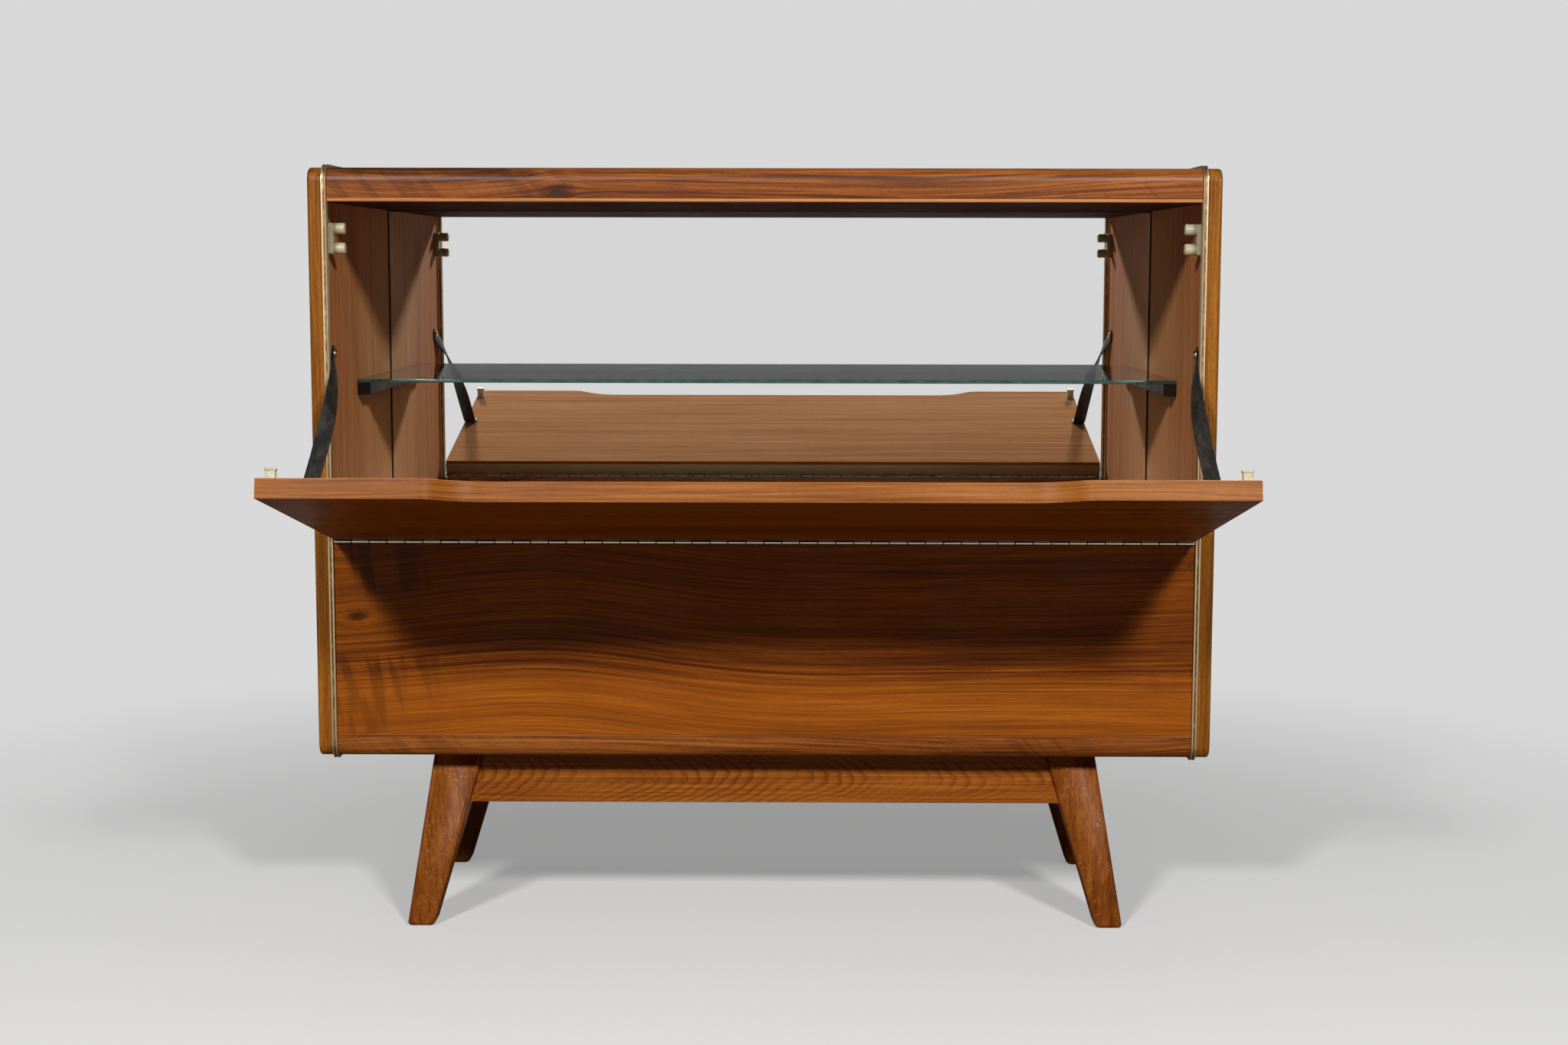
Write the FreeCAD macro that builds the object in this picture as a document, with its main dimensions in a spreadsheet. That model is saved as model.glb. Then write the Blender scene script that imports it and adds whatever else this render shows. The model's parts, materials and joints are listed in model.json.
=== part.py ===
"""Bar cabinet on splayed legs with a drop flap, a mirrored back and a glass shelf.

Millimetres. +X is to the right, +Y to the back, +Z up. The origin is on the floor, under the
middle of the whole outline with the flap hanging open on its two straps.
Pieces of the case are laid out from its front plane and its underside; the pieces that ride on
the flap are laid out from the hinge axis with the flap shut, and then turned open together.
"""
import FreeCAD, Part
import math
import os
import re
import Sketcher

os.makedirs("parts", exist_ok=True)
doc = FreeCAD.newDocument("bar_cabinet")
Vector = FreeCAD.Vector

# Driving dimensions
SIZES = [
    # Width within which a corner of a solid is taken to be the one that is looked for
    ("edge_tolerance", 0.01),
    # Case
    ("cabinet_width", 970),
    ("body_height", 636),
    ("body_depth", 400),
    ("side_thickness", 15),
    ("corner_radius", 14),
    ("side_edge_radius", 3),
    ("top_thickness", 31.6),
    ("ceiling_thickness", 4.6),
    ("bottom_thickness", 23.4),
    ("floor_thickness", 2.6),
    ("back_thickness", 8),
    ("back_inset", 3),
    ("mirror_thickness", 4),
    # Brass trim between the side panels and the rest of the case
    ("trim_width", 6),
    ("trim_proud", 3.5),
    ("trim_seat", 4.5),
    ("trim_edge_bevel", 1.8),
    # Fixed front panel and flap
    ("panel_thickness", 19),
    ("flap_height", 358),
    ("flap_side_gap", 1),
    ("flap_top_gap", 2.3),
    ("flap_open_angle", 77),
    ("recess_depth", 22),
    ("recess_tab_length", 158),
    ("recess_slope_angle", 36),
    ("recess_outer_radius", 30),
    ("recess_inner_radius", 78),
    # Piano hinge
    ("hinge_proud", 1.5),
    ("knuckle_diameter", 5),
    ("knuckle_pairs", 24),
    ("knuckle_gap", 0.4),
    ("knuckle_sides", 12),
    ("bore_sides", 6),
    ("leaf_thickness", 1),
    ("leaf_width", 16),
    ("pin_diameter", 2.4),
    ("pin_clearance", 0.15),
    ("hinge_end_gap", 0.5),
    # Catches on the side panels and strikers on the flap
    ("catch_drop", 38.5),
    ("catch_setback", 28),
    ("catch_base_length", 7),
    ("catch_base_width", 13),
    ("catch_reach", 19.7),
    ("catch_prong_radius", 6),
    ("catch_gap", 9),
    ("striker_length", 11),
    ("striker_thickness", 7.6),
    ("striker_height", 14.5),
    ("striker_edge_radius", 1),
    ("striker_clearance", 0.8),
    # Straps that hold the open flap
    ("strap_width", 17),
    ("strap_thickness", 1.6),
    ("strap_rise", 203),
    ("strap_setback", 45),
    ("strap_reach", 183),
    ("strap_lean", 16),
    ("strap_foot", 22),
    ("strap_hole_clearance", 0.2),
    ("screw_head_radius", 4.8),
    ("screw_crown_radius", 2.8),
    ("screw_head_height", 3.8),
    ("screw_shank_radius", 1.6),
    ("shank_sides", 8),
    ("screw_length", 12),
    # Glass shelf and its cleats
    ("shelf_rise", 168.4),
    ("shelf_setback", 176),
    ("shelf_thickness", 4),
    ("shelf_clearance", 0.5),
    ("shelf_edge_radius", 0.8),
    ("cleat_width", 15),
    ("cleat_height", 14),
    ("cleat_setback", 177),
    # Base frame
    ("leg_height", 208.1),
    ("leg_top_width", 54.7),
    ("leg_top_depth", 59.7),
    ("leg_foot_width", 30.4),
    ("leg_foot_depth", 36.5),
    ("leg_top_inset", 120.2),
    ("leg_splay", 38.4),
    ("leg_edge_radius", 5),
    ("leg_front_inset", 38.2),
    ("leg_back_inset", 8.5),
    ("foot_bevel", 2),
    ("rail_height", 61.3),
    ("rail_thickness", 19),
    ("apron_recess", 11.5),
    ("side_rail_recess", 12),
]

# Sizes and places worked out from the driving dimensions
DERIVED = [
    ("inner_width", "cabinet_width - 2 * side_thickness"),
    ("trimmed_width", "inner_width - 2 * trim_width"),
    ("lining_depth", "body_depth - back_inset - back_thickness"),
    ("mirror_face", "lining_depth - mirror_thickness"),
    ("floor_level", "bottom_thickness + floor_thickness"),
    ("ceiling_level", "body_height - top_thickness - ceiling_thickness"),
    ("knuckle_radius", "knuckle_diameter / 2"),
    ("flap_width", "trimmed_width - 2 * flap_side_gap"),
    ("axis_level", "ceiling_level - flap_top_gap - flap_height - knuckle_radius"),
    ("front_panel_top", "axis_level - knuckle_radius"),
    ("hinge_length", "trimmed_width - 2 * hinge_end_gap"),
    ("knuckle_pitch", "hinge_length / knuckle_pairs / 2"),
    ("flap_top_edge", "knuckle_radius + flap_height"),
    ("flap_reach", "hinge_proud + sin(flap_open_angle) * flap_top_edge"
                   " - cos(flap_open_angle) * hinge_proud"),
    ("front", "(flap_reach - body_depth) / 2"),
    ("axis_front", "front - hinge_proud"),
    ("catch_level", "ceiling_level - catch_drop"),
    ("catch_spread", "catch_gap / 2 + catch_prong_radius"),
    ("flap_inner_face", "hinge_proud + panel_thickness"),
    ("strap_level", "leg_height + front_panel_top + strap_rise"),
    ("screw_hole_depth", "screw_length - strap_thickness"),
    ("strap_foot_middle", "knuckle_radius + strap_reach + strap_foot / 2"),
    ("strap_foot_across", "inner_width / 2 - strap_lean"),
    ("shelf_level", "front_panel_top + shelf_rise - shelf_thickness"),
    ("leg_top_outer", "cabinet_width / 2 - leg_top_inset"),
    ("leg_top_inner", "leg_top_outer - leg_top_width"),
    ("leg_foot_outer", "leg_top_outer + leg_splay"),
    ("leg_foot_inner", "leg_foot_outer - leg_foot_width"),
    ("leg_foot_lean", "leg_top_depth - leg_foot_depth"),
    ("rail_drop_share", "rail_height / leg_height"),
    ("apron_foot_half", "leg_top_inner + rail_drop_share * (leg_foot_inner - leg_top_inner)"),
    ("leg_rear_front", "body_depth - leg_back_inset - leg_top_depth"),
    ("rail_run", "leg_rear_front - leg_front_inset - leg_top_depth"),
]

sheet = doc.addObject("Spreadsheet::Sheet", "Sizes")
for row, (alias, value) in enumerate(SIZES + DERIVED, start=1):
    formula = isinstance(value, str)
    sheet.set("A%d" % row, alias)
    sheet.set("B%d" % row, "=" + value if formula else str(value))
    sheet.setAlias("B%d" % row, alias)
doc.recompute()

ALIASES = {alias for alias, value in SIZES + DERIVED}
nodes = {}


def size(alias):
    """Number held by a cell of the sheet."""
    return float(sheet.get(alias))


def bound(text):
    """Expression with every alias in it pointed at the sheet."""
    return re.sub(r"[a-z_]+", lambda m: "Sizes." + m[0] if m[0] in ALIASES else m[0], text)


def place(piece, x="0", y="0", z="0"):
    """Bind the piece's place to expressions in the sheet's aliases."""
    for key, text in (("x", x), ("y", y), ("z", z)):
        piece.setExpression("Placement.Base." + key, bound(text))
    return piece


def keep(node, piece, x="0", y="0", z="0"):
    """Name a finished sub-part and put it in its place."""
    piece.Label = node
    nodes[node] = place(piece, x, y, z)
    return piece


def on_flap(node, piece, x="0"):
    """Name a sub-part that was laid out on the shut flap, and turn it open about the hinge axis."""
    piece.Placement.Rotation = FreeCAD.Rotation(Vector(1, 0, 0), size("flap_open_angle"))
    piece.setExpression("Placement.Rotation.Angle", bound("flap_open_angle"))
    return keep(node, piece, x, "axis_front", "leg_height + axis_level")


def box(label, length, width, height, x="0", y="0", z="0"):
    """Part box whose three sizes and place are expressions."""
    piece = doc.addObject("Part::Box", label)
    piece.setExpression("Length", bound(length))
    piece.setExpression("Width", bound(width))
    piece.setExpression("Height", bound(height))
    return place(piece, x, y, z)


def cylinder(label, radius, length, axis, x="0", y="0", z="0"):
    """Part cylinder along an axis."""
    piece = doc.addObject("Part::Cylinder", label)
    piece.setExpression("Radius", bound(radius))
    piece.setExpression("Height", bound(length))
    piece.Placement.Rotation = FreeCAD.Rotation(Vector(0, 0, 1), axis)
    return place(piece, x, y, z)


def boolean(kind, label, base, tool):
    """Part cut, fuse or common of two objects."""
    piece = doc.addObject("Part::" + kind, label)
    piece.Base = base
    piece.Tool = tool
    doc.recompute()
    return piece


def new_body(label):
    return doc.addObject("PartDesign::Body", label + "_body")


def new_sketch(body, role, offset="0"):
    """Sketch on one of the body's own origin planes, lifted off it by an expression."""
    sketch = body.newObject("Sketcher::SketchObject", body.Name + "_sketch")
    plane = next(feature for feature in body.Origin.OriginFeatures if feature.Role == role)
    sketch.AttachmentSupport = [(plane, "")]
    sketch.MapMode = "FlatFace"
    sketch.setExpression("AttachmentOffset.Base.z", bound(offset))
    return sketch


def outline(body, role, corners, offset="0"):
    """Closed sketch through corners, each a pair of expressions that constrain it."""
    sketch = new_sketch(body, role, offset)
    places = [tuple(float(sheet_value(text)) for text in corner) for corner in corners]
    count = len(places)
    for index, (start_x, start_y) in enumerate(places):
        end_x, end_y = places[(index + 1) % count]
        sketch.addGeometry(Part.LineSegment(Vector(start_x, start_y), Vector(end_x, end_y)))
    for index in range(count):
        sketch.addConstraint(Sketcher.Constraint("Coincident", index, 2, (index + 1) % count, 1))
    for index, corner in enumerate(corners):
        for kind, text, value in zip(("DistanceX", "DistanceY"), corner, places[index]):
            number = sketch.addConstraint(Sketcher.Constraint(kind, index, 1, value))
            sketch.setExpression("Constraints[%d]" % number, bound(text))
    return sketch


def rectangle(body, role, low, high, offset="0"):
    """Closed sketch of a rectangle between two corners."""
    (left, bottom), (right, top) = low, high
    return outline(body, role, [(left, bottom), (right, bottom), (right, top), (left, top)], offset)


def circle(body, role, centre, radius, offset="0"):
    """Sketch of one circle."""
    sketch = new_sketch(body, role, offset)
    across, up = (sheet_value(text) for text in centre)
    sketch.addGeometry(Part.Circle(Vector(across, up), Vector(0, 0, 1), sheet_value(radius)))
    for kind, text, value in zip(("DistanceX", "DistanceY"), centre, (across, up)):
        number = sketch.addConstraint(Sketcher.Constraint(kind, 0, 3, value))
        sketch.setExpression("Constraints[%d]" % number, bound(text))
    number = sketch.addConstraint(Sketcher.Constraint("Radius", 0, sheet_value(radius)))
    sketch.setExpression("Constraints[%d]" % number, bound(radius))
    return sketch


def sheet_value(text):
    """Number that an expression in the sheet's aliases comes to."""
    return float(sheet.evalExpression(bound(text).replace("Sizes.", "")))


def pad(body, sketch, length, side="One side", back=False):
    """Pad of a sketch, by an expression, to one side or to both sides alike."""
    feature = body.newObject("PartDesign::Pad", body.Name + "_pad")
    feature.Profile = sketch
    feature.SideType = side
    feature.Reversed = back
    feature.setExpression("Length", bound(length))
    doc.recompute()
    return feature


def pocket(body, sketch, length, side="One side", back=False):
    """Pocket of a sketch, which has to take some material away."""
    before = body.Shape.Volume
    feature = body.newObject("PartDesign::Pocket", body.Name + "_pocket")
    feature.Profile = sketch
    feature.SideType = side
    feature.Reversed = back
    feature.setExpression("Length", bound(length))
    doc.recompute()
    if body.Shape.Volume >= before:
        raise RuntimeError(body.Name + ": a pocket cuts nothing")
    return feature


def near(value, aim):
    return abs(value - aim) < size("edge_tolerance")


def edges(shape, test, sideways=None):
    """Names of the edges whose ends all pass a test, and which do or don't run along X."""
    names = []
    for number, edge in enumerate(shape.Edges, start=1):
        ends = [vertex.Point for vertex in edge.Vertexes]
        along_x = near(ends[0].y, ends[-1].y) and near(ends[0].z, ends[-1].z)
        if all(test(point) for point in ends) and sideways in (None, along_x):
            names.append("Edge%d" % number)
    return names


def dress(kind, body, names, amount, value):
    """Fillet or chamfer of named edges of the body's last feature."""
    base = body.Tip
    feature = body.newObject("PartDesign::" + kind, body.Name + "_" + kind.lower())
    feature.Base = (base, names)
    feature.setExpression(amount, bound(value))
    body.Tip = feature
    doc.recompute()
    if "Invalid" in feature.State or not names:
        raise RuntimeError(body.Name + ": no " + kind.lower())


def fillet(body, radius, test, sideways=None):
    """Round the edges that a test picks out."""
    dress("Fillet", body, edges(body.Shape, test, sideways), "Radius", radius)


# Side panels: rounded front corners, and a soft outer edge down the front
def side_panel(node, outer, x):
    body = new_body(node)
    pad(body, rectangle(body, "YZ_Plane", ("0", "0"), ("body_depth", "body_height")),
        "side_thickness")
    fillet(body, "corner_radius", lambda p: near(p.y, 0), True)
    fillet(body, "side_edge_radius", lambda p: near(p.x, sheet_value(outer)) and near(p.y, 0))
    hole_start = "side_thickness - screw_hole_depth" if near(sheet_value(outer), 0) else "0"
    hole = cylinder(node + "_hole", "screw_shank_radius", "screw_hole_depth", Vector(1, 0, 0),
                    hole_start, "strap_setback", "strap_level - leg_height")
    keep(node, boolean("Cut", node + "_cut", body, hole), x, "front", "leg_height")


# Boards that run between the side panels, stepped back at both ends for the trim
def stepped_board(node, low, high, step_low, step_high, rounded):
    body = new_body(node)
    pad(body, rectangle(body, "YZ_Plane", low, high), "trimmed_width", "Symmetric")
    if rounded:
        corner = sheet_value(rounded)
        fillet(body, "corner_radius", lambda p: near(p.y, 0) and near(p.z, corner))
    pad(body, rectangle(body, "YZ_Plane", step_low, step_high), "inner_width", "Symmetric")
    return body


side_panel("side_panel_left", "0", "-cabinet_width / 2")
side_panel("side_panel_right", "side_thickness", "cabinet_width / 2 - side_thickness")
keep("top_panel", stepped_board(
    "top_panel",
    ("0", "ceiling_level + ceiling_thickness"), ("body_depth", "body_height"),
    ("trim_seat", "ceiling_level + ceiling_thickness"), ("body_depth", "body_height - trim_seat"),
    "body_height"), "0", "front", "leg_height")
keep("bottom_panel", stepped_board(
    "bottom_panel", ("0", "0"), ("body_depth", "bottom_thickness"),
    ("trim_seat", "trim_seat"), ("body_depth", "bottom_thickness"), "0"),
    "0", "front", "leg_height")
keep("fixed_front_panel", stepped_board(
    "fixed_front_panel", ("0", "floor_level"), ("panel_thickness", "front_panel_top"),
    ("trim_seat", "floor_level"), ("panel_thickness", "front_panel_top"), ""),
    "0", "front", "leg_height")
keep("ceiling_lining", stepped_board(
    "ceiling_lining",
    ("0", "ceiling_level"), ("lining_depth", "ceiling_level + ceiling_thickness"),
    ("trim_seat", "ceiling_level"), ("lining_depth", "ceiling_level + ceiling_thickness"), ""),
    "0", "front", "leg_height")
keep("floor_lining", stepped_board(
    "floor_lining", ("0", "bottom_thickness"), ("lining_depth", "floor_level"),
    ("trim_seat", "bottom_thickness"), ("lining_depth", "floor_level"), ""),
    "0", "front", "leg_height")

keep("back_panel", box("back", "inner_width", "back_thickness",
                       "body_height - bottom_thickness - top_thickness"),
     "-inner_width / 2", "front + lining_depth", "leg_height + bottom_thickness")
keep("back_mirror", box("mirror", "inner_width", "mirror_thickness", "ceiling_level - floor_level"),
     "-inner_width / 2", "front + mirror_face", "leg_height + floor_level")


# Trim: one brass bead that runs over the top, down the front and under the bottom
def trim(node, x):
    body = new_body(node)
    pad(body, outline(body, "YZ_Plane", [
        ("body_depth", "body_height + trim_proud"), ("-trim_proud", "body_height + trim_proud"),
        ("-trim_proud", "-trim_proud"), ("body_depth", "-trim_proud"),
        ("body_depth", "trim_seat"), ("trim_seat", "trim_seat"),
        ("trim_seat", "body_height - trim_seat"), ("body_depth", "body_height - trim_seat")]),
        "trim_width")
    proud = size("trim_proud")
    fillet(body, "corner_radius + trim_proud", lambda p: near(p.y, -proud), True)
    front_edges = edges(body.Shape, lambda p: near(p.y, -proud), False)
    dress("Chamfer", body, front_edges, "Size", "trim_edge_bevel")
    keep(node, body, x, "front", "leg_height")


trim("trim_left", "-inner_width / 2")
trim("trim_right", "inner_width / 2 - trim_width")

# Glass shelf on two cleats
shelf_body = new_body("glass_shelf")
pad(shelf_body, rectangle(
    shelf_body, "XY_Plane",
    ("shelf_clearance - inner_width / 2", "shelf_setback"),
    ("inner_width / 2 - shelf_clearance", "mirror_face - shelf_clearance")), "shelf_thickness")
fillet(shelf_body, "shelf_edge_radius", lambda p: near(p.y, size("shelf_setback")))
keep("glass_shelf", shelf_body, "0", "front", "leg_height + shelf_level")
for side, x in (("left", "-inner_width / 2"), ("right", "inner_width / 2 - cleat_width")):
    keep("shelf_cleat_" + side,
         box("cleat_" + side, "cleat_width", "mirror_face - cleat_setback", "cleat_height"),
         x, "front + cleat_setback", "leg_height + shelf_level - cleat_height")


# Catches: a base on the side panel and two round prongs that reach inwards
def catch(node, sign, face_x):
    body = new_body(node)
    half_height = "(catch_spread + catch_prong_radius)"
    pad(body, rectangle(body, "YZ_Plane",
                        ("-catch_base_width / 2", "-" + half_height),
                        ("catch_base_width / 2", half_height)), "catch_base_length", back=sign < 0)
    for level in ("catch_spread", "-catch_spread"):
        pad(body, circle(body, "YZ_Plane", ("0", level), "catch_prong_radius"), "catch_reach",
            back=sign < 0)
    keep(node, body, face_x, "front + catch_setback", "leg_height + catch_level")


catch("catch_left", 1, "-inner_width / 2")
catch("catch_right", -1, "inner_width / 2")

# Flap, laid out shut: outer face at hinge_proud behind the axis, lower edge one radius above it
flap_body = new_body("flap")
pad(flap_body, rectangle(flap_body, "XZ_Plane", ("-flap_width / 2", "knuckle_radius"),
                         ("flap_width / 2", "flap_top_edge"), "-hinge_proud"),
    "panel_thickness", back=True)
slope_run = "recess_depth / tan(recess_slope_angle)"
mouth = "(flap_width / 2 - recess_tab_length)"
throat = "(flap_width / 2 - recess_tab_length - %s)" % slope_run
pocket(flap_body, outline(flap_body, "XZ_Plane", [
    ("-" + throat, "flap_top_edge - recess_depth"), (throat, "flap_top_edge - recess_depth"),
    (mouth, "flap_top_edge"), ("-" + mouth, "flap_top_edge")], "-hinge_proud"),
    "panel_thickness")
mouth_x, throat_x = sheet_value(mouth), sheet_value(throat)
fillet(flap_body, "recess_outer_radius", lambda p: near(abs(p.x), mouth_x), False)
fillet(flap_body, "recess_inner_radius", lambda p: near(abs(p.x), throat_x), False)
flap = flap_body
for side, sign in (("left", "-"), ("right", "")):
    hole = cylinder("anchor_hole_" + side, "screw_shank_radius", "screw_hole_depth",
                    Vector(0, -1, 0), sign + "strap_foot_across", "flap_inner_face",
                    "strap_foot_middle")
    flap = boolean("Cut", "flap_" + side, flap, hole)
on_flap("flap", flap)


# Piano hinge: each leaf is a strip with every second knuckle on it, rolled in a few flats
def polygon(body, sides, radius, offset):
    """Closed sketch of a regular polygon about the hinge axis."""
    turn = "360 / %s * " % sides
    return outline(body, "YZ_Plane", [
        ("%s * cos(%s%d)" % (radius, turn, corner), "%s * sin(%s%d)" % (radius, turn, corner))
        for corner in range(int(size(sides)))], offset)


def hinge_leaf(node, level, first):
    """Leaf whose strip lies at one side of the axis, level 1 above it and -1 below it."""
    body = new_body(node)
    low, high = ("knuckle_radius - leaf_thickness", "knuckle_radius")
    if level < 0:
        low, high = ("-knuckle_radius", "leaf_thickness - knuckle_radius")
    clear = "knuckle_radius + pin_clearance"
    bore_radius = "(pin_diameter / 2 + pin_clearance) / cos(180 / bore_sides)"
    start = "%d * knuckle_pitch + knuckle_gap / 2 - hinge_length / 2" % first
    length = "knuckle_pitch - knuckle_gap"
    pad(body, rectangle(body, "YZ_Plane", (clear, low), ("leaf_width", high)),
        "hinge_length", "Symmetric")
    tongue = pad(body, rectangle(body, "YZ_Plane", ("0", low), (clear, high), start), length)
    knuckle = pad(body, polygon(body, "knuckle_sides", "knuckle_radius", start), length)
    bore = pocket(body, polygon(body, "bore_sides", bore_radius, start), length, back=True)
    row = body.newObject("PartDesign::LinearPattern", body.Name + "_row")
    row.Originals = [tongue, knuckle, bore]
    axis = next(feature for feature in body.Origin.OriginFeatures if feature.Role == "X_Axis")
    row.Direction = (axis, [""])
    row.setExpression("Occurrences", bound("knuckle_pairs"))
    row.setExpression("Length", bound("2 * knuckle_pitch * (knuckle_pairs - 1)"))
    body.Tip = row
    doc.recompute()
    return body


keep("hinge_leaf_fixed", hinge_leaf("hinge_leaf_fixed", -1, 0),
     "0", "axis_front", "leg_height + axis_level")
on_flap("hinge_leaf_flap", hinge_leaf("hinge_leaf_flap", 1, 1))
keep("hinge_pin", cylinder("pin", "pin_diameter / 2", "hinge_length", Vector(1, 0, 0)),
     "-hinge_length / 2", "axis_front", "leg_height + axis_level")


# Strikers on the inner face of the flap, level with the catches when it is shut
def striker(node, x):
    body = new_body(node)
    level = "(catch_level - axis_level)"
    pad(body, rectangle(body, "XZ_Plane", ("0", level + " - striker_thickness / 2"),
                        ("striker_length", level + " + striker_thickness / 2"),
                        "-flap_inner_face"), "striker_height", back=True)
    tip = size("flap_inner_face") + size("striker_height")
    fillet(body, "striker_edge_radius", lambda p: near(p.y, tip))
    on_flap(node, body, x)


striker("striker_left", "catch_base_length + striker_clearance - inner_width / 2")
striker("striker_right",
        "inner_width / 2 - catch_base_length - striker_clearance - striker_length")


# Straps: a flat band that lies against the side panel at its top and twists to meet the flap
def flap_point(along, out):
    """Point on the open flap, out from its inner face, in the front view's Y and Z."""
    angle = math.radians(size("flap_open_angle"))
    depth = size("flap_inner_face") + out
    height = size("knuckle_radius") + along
    return Vector(0, size("axis_front") + depth * math.cos(angle) - height * math.sin(angle),
                  size("leg_height") + size("axis_level")
                  + depth * math.sin(angle) + height * math.cos(angle))


def section(centre, across, normal):
    """Rectangle of the strap's width and thickness about a point."""
    half_width = across * (size("strap_width") / 2)
    half_depth = normal * (size("strap_thickness") / 2)
    corners = [centre - half_width - half_depth, centre + half_width - half_depth,
               centre + half_width + half_depth, centre - half_width + half_depth]
    return Part.makePolygon(corners + corners[:1])


def strap(node, sign):
    """Twisted band with a round tail at its upper screw and a flat foot under its lower one."""
    half = size("strap_thickness") / 2
    outward = Vector(sign, 0, 0)
    top = Vector(sign * (size("inner_width") / 2 - half), size("front") + size("strap_setback"),
                 size("strap_level"))
    heel, toe = (flap_point(size("strap_reach") + step, half) for step in (0, size("strap_foot")))
    heel.x = toe.x = sign * size("strap_foot_across")
    run = Vector(0, heel.y - top.y, heel.z - top.z)
    shift = Vector(heel.x - top.x, 0, 0)
    upright = Vector(0, -run.z, run.y).normalize()
    sections = []
    for reach, turn, drift in STRAP_SHARES:
        angle = turn * math.pi / 2
        across = upright * math.cos(angle) - outward * math.sin(angle)
        normal = outward * math.cos(angle) + upright * math.sin(angle)
        sections.append(section(top + run * reach + shift * drift, across, normal))
    face = (flap_point(0, 1) - flap_point(0, 0)).normalize()
    lean = -upright if upright.dot(face) < 0 else upright
    mitre = (face + lean).normalize()
    sections.append(section(heel, -outward, mitre * (-1 / mitre.dot(face))))
    sections.append(section(toe, -outward, -face))
    band = Part.makeLoft(sections, True, True)
    wide = size("strap_width") / 2
    tail = Part.makeCylinder(wide, 2 * half, top - outward * half, outward)
    bore = size("screw_shank_radius") + size("strap_hole_clearance")
    holes = [Part.makeCylinder(bore, 2 * wide, middle - axis * wide, axis)
             for middle, axis in ((top, outward), ((heel + toe) / 2, face))]
    shape = band.fuse(tail).removeSplitter().cut(holes)
    piece = doc.addObject("Part::Feature", node)
    piece.Shape = shape.Solids[0] if len(shape.Solids) == 1 else shape
    keep(node, piece)


# Shares of the way down to the flap, of a quarter turn and of the way inwards, in that order
STRAP_SHARES = ((0.0, 0.0, 0.0), (0.05, 0.0, 0.0), (0.11, 0.04, 0.3), (0.18, 0.13, 0.66),
                (0.26, 0.27, 0.84), (0.36, 0.45, 0.95), (0.47, 0.68, 1.0), (0.58, 0.87, 1.0),
                (0.7, 1.0, 1.0), (0.9, 1.0, 1.0))
strap("stay_strap_left", -1)
strap("stay_strap_right", 1)


# Screws with tapered heads, one through each end of a strap
def screw(label):
    """Head on a shank, standing along Z with the underside of the head at zero."""
    head = doc.addObject("Part::Cone", label + "_head")
    head.setExpression("Radius1", bound("screw_head_radius"))
    head.setExpression("Radius2", bound("screw_crown_radius"))
    head.setExpression("Height", bound("screw_head_height"))
    shank = doc.addObject("Part::Prism", label + "_shank")
    shank.Polygon = int(size("shank_sides"))
    shank.setExpression("Circumradius", bound("screw_shank_radius"))
    shank.setExpression("Height", bound("screw_length"))
    place(shank, z="-screw_length")
    return boolean("Fuse", label, head, shank)


for side, sign, inward in (("left", "-", Vector(1, 0, 0)), ("right", "", Vector(-1, 0, 0))):
    upper = screw("stay_screw_" + side)
    upper.Placement.Rotation = FreeCAD.Rotation(Vector(0, 0, 1), inward)
    keep("stay_screw_" + side, upper, sign + "(inner_width / 2 - strap_thickness)",
         "front + strap_setback", "strap_level")
    lower = screw("anchor_" + side)
    lower.Placement.Rotation = FreeCAD.Rotation(Vector(0, 0, 1), Vector(0, 1, 0))
    place(lower, sign + "strap_foot_across", "flap_inner_face + strap_thickness",
          "strap_foot_middle")
    carried = doc.addObject("Part::Compound", "anchor_screw_" + side)
    carried.Links = [lower]
    on_flap("anchor_screw_" + side, carried)


# Legs: splayed sideways and tapered both ways, with soft edges and a worn bevel at the sole
def leg(node, side, front_face, slanted):
    """Leg whose front or rear face slants in towards the foot."""
    body = new_body(node)
    sign = "-" if side == "left" else ""
    pad(body, outline(body, "XZ_Plane", [
        (sign + "leg_foot_inner", "0"), (sign + "leg_foot_outer", "0"),
        (sign + "leg_top_outer", "leg_height"), (sign + "leg_top_inner", "leg_height")]),
        "leg_top_depth", back=True)
    low, high = ("0", "leg_foot_lean") if slanted == "front" else (
        "leg_top_depth", "leg_top_depth - leg_foot_lean")
    spare = "2 * leg_foot_outer"
    pocket(body, outline(body, "YZ_Plane", [(low, "0"), (high, "0"), (low, "leg_height")]),
           spare, "Symmetric")
    half = size("leg_height") / 2
    long_edges = [number for number, edge in enumerate(body.Shape.Edges, start=1)
                  if abs(edge.Vertexes[0].Z - edge.Vertexes[-1].Z) > half]
    dress("Fillet", body, ["Edge%d" % number for number in long_edges], "Radius", "leg_edge_radius")
    dress("Chamfer", body, edges(body.Shape, lambda p: near(p.z, 0)), "Size", "foot_bevel")
    keep(node, body, "0", "front + " + front_face, "0")


for side in ("left", "right"):
    leg("leg_front_" + side, side, "leg_front_inset", "front")
    leg("leg_rear_" + side, side, "leg_rear_front", "rear")


# Aprons, cut at their ends to the slant of the legs, and straight rails at the sides
def apron(node, front_face):
    body = new_body(node)
    foot, top = "leg_height - rail_height", "leg_height"
    pad(body, outline(body, "XZ_Plane", [
        ("-apron_foot_half", foot), ("apron_foot_half", foot),
        ("leg_top_inner", top), ("-leg_top_inner", top)], "-(" + front_face + ")"),
        "rail_thickness", back=True)
    keep(node, body, "0", "front", "0")


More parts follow.
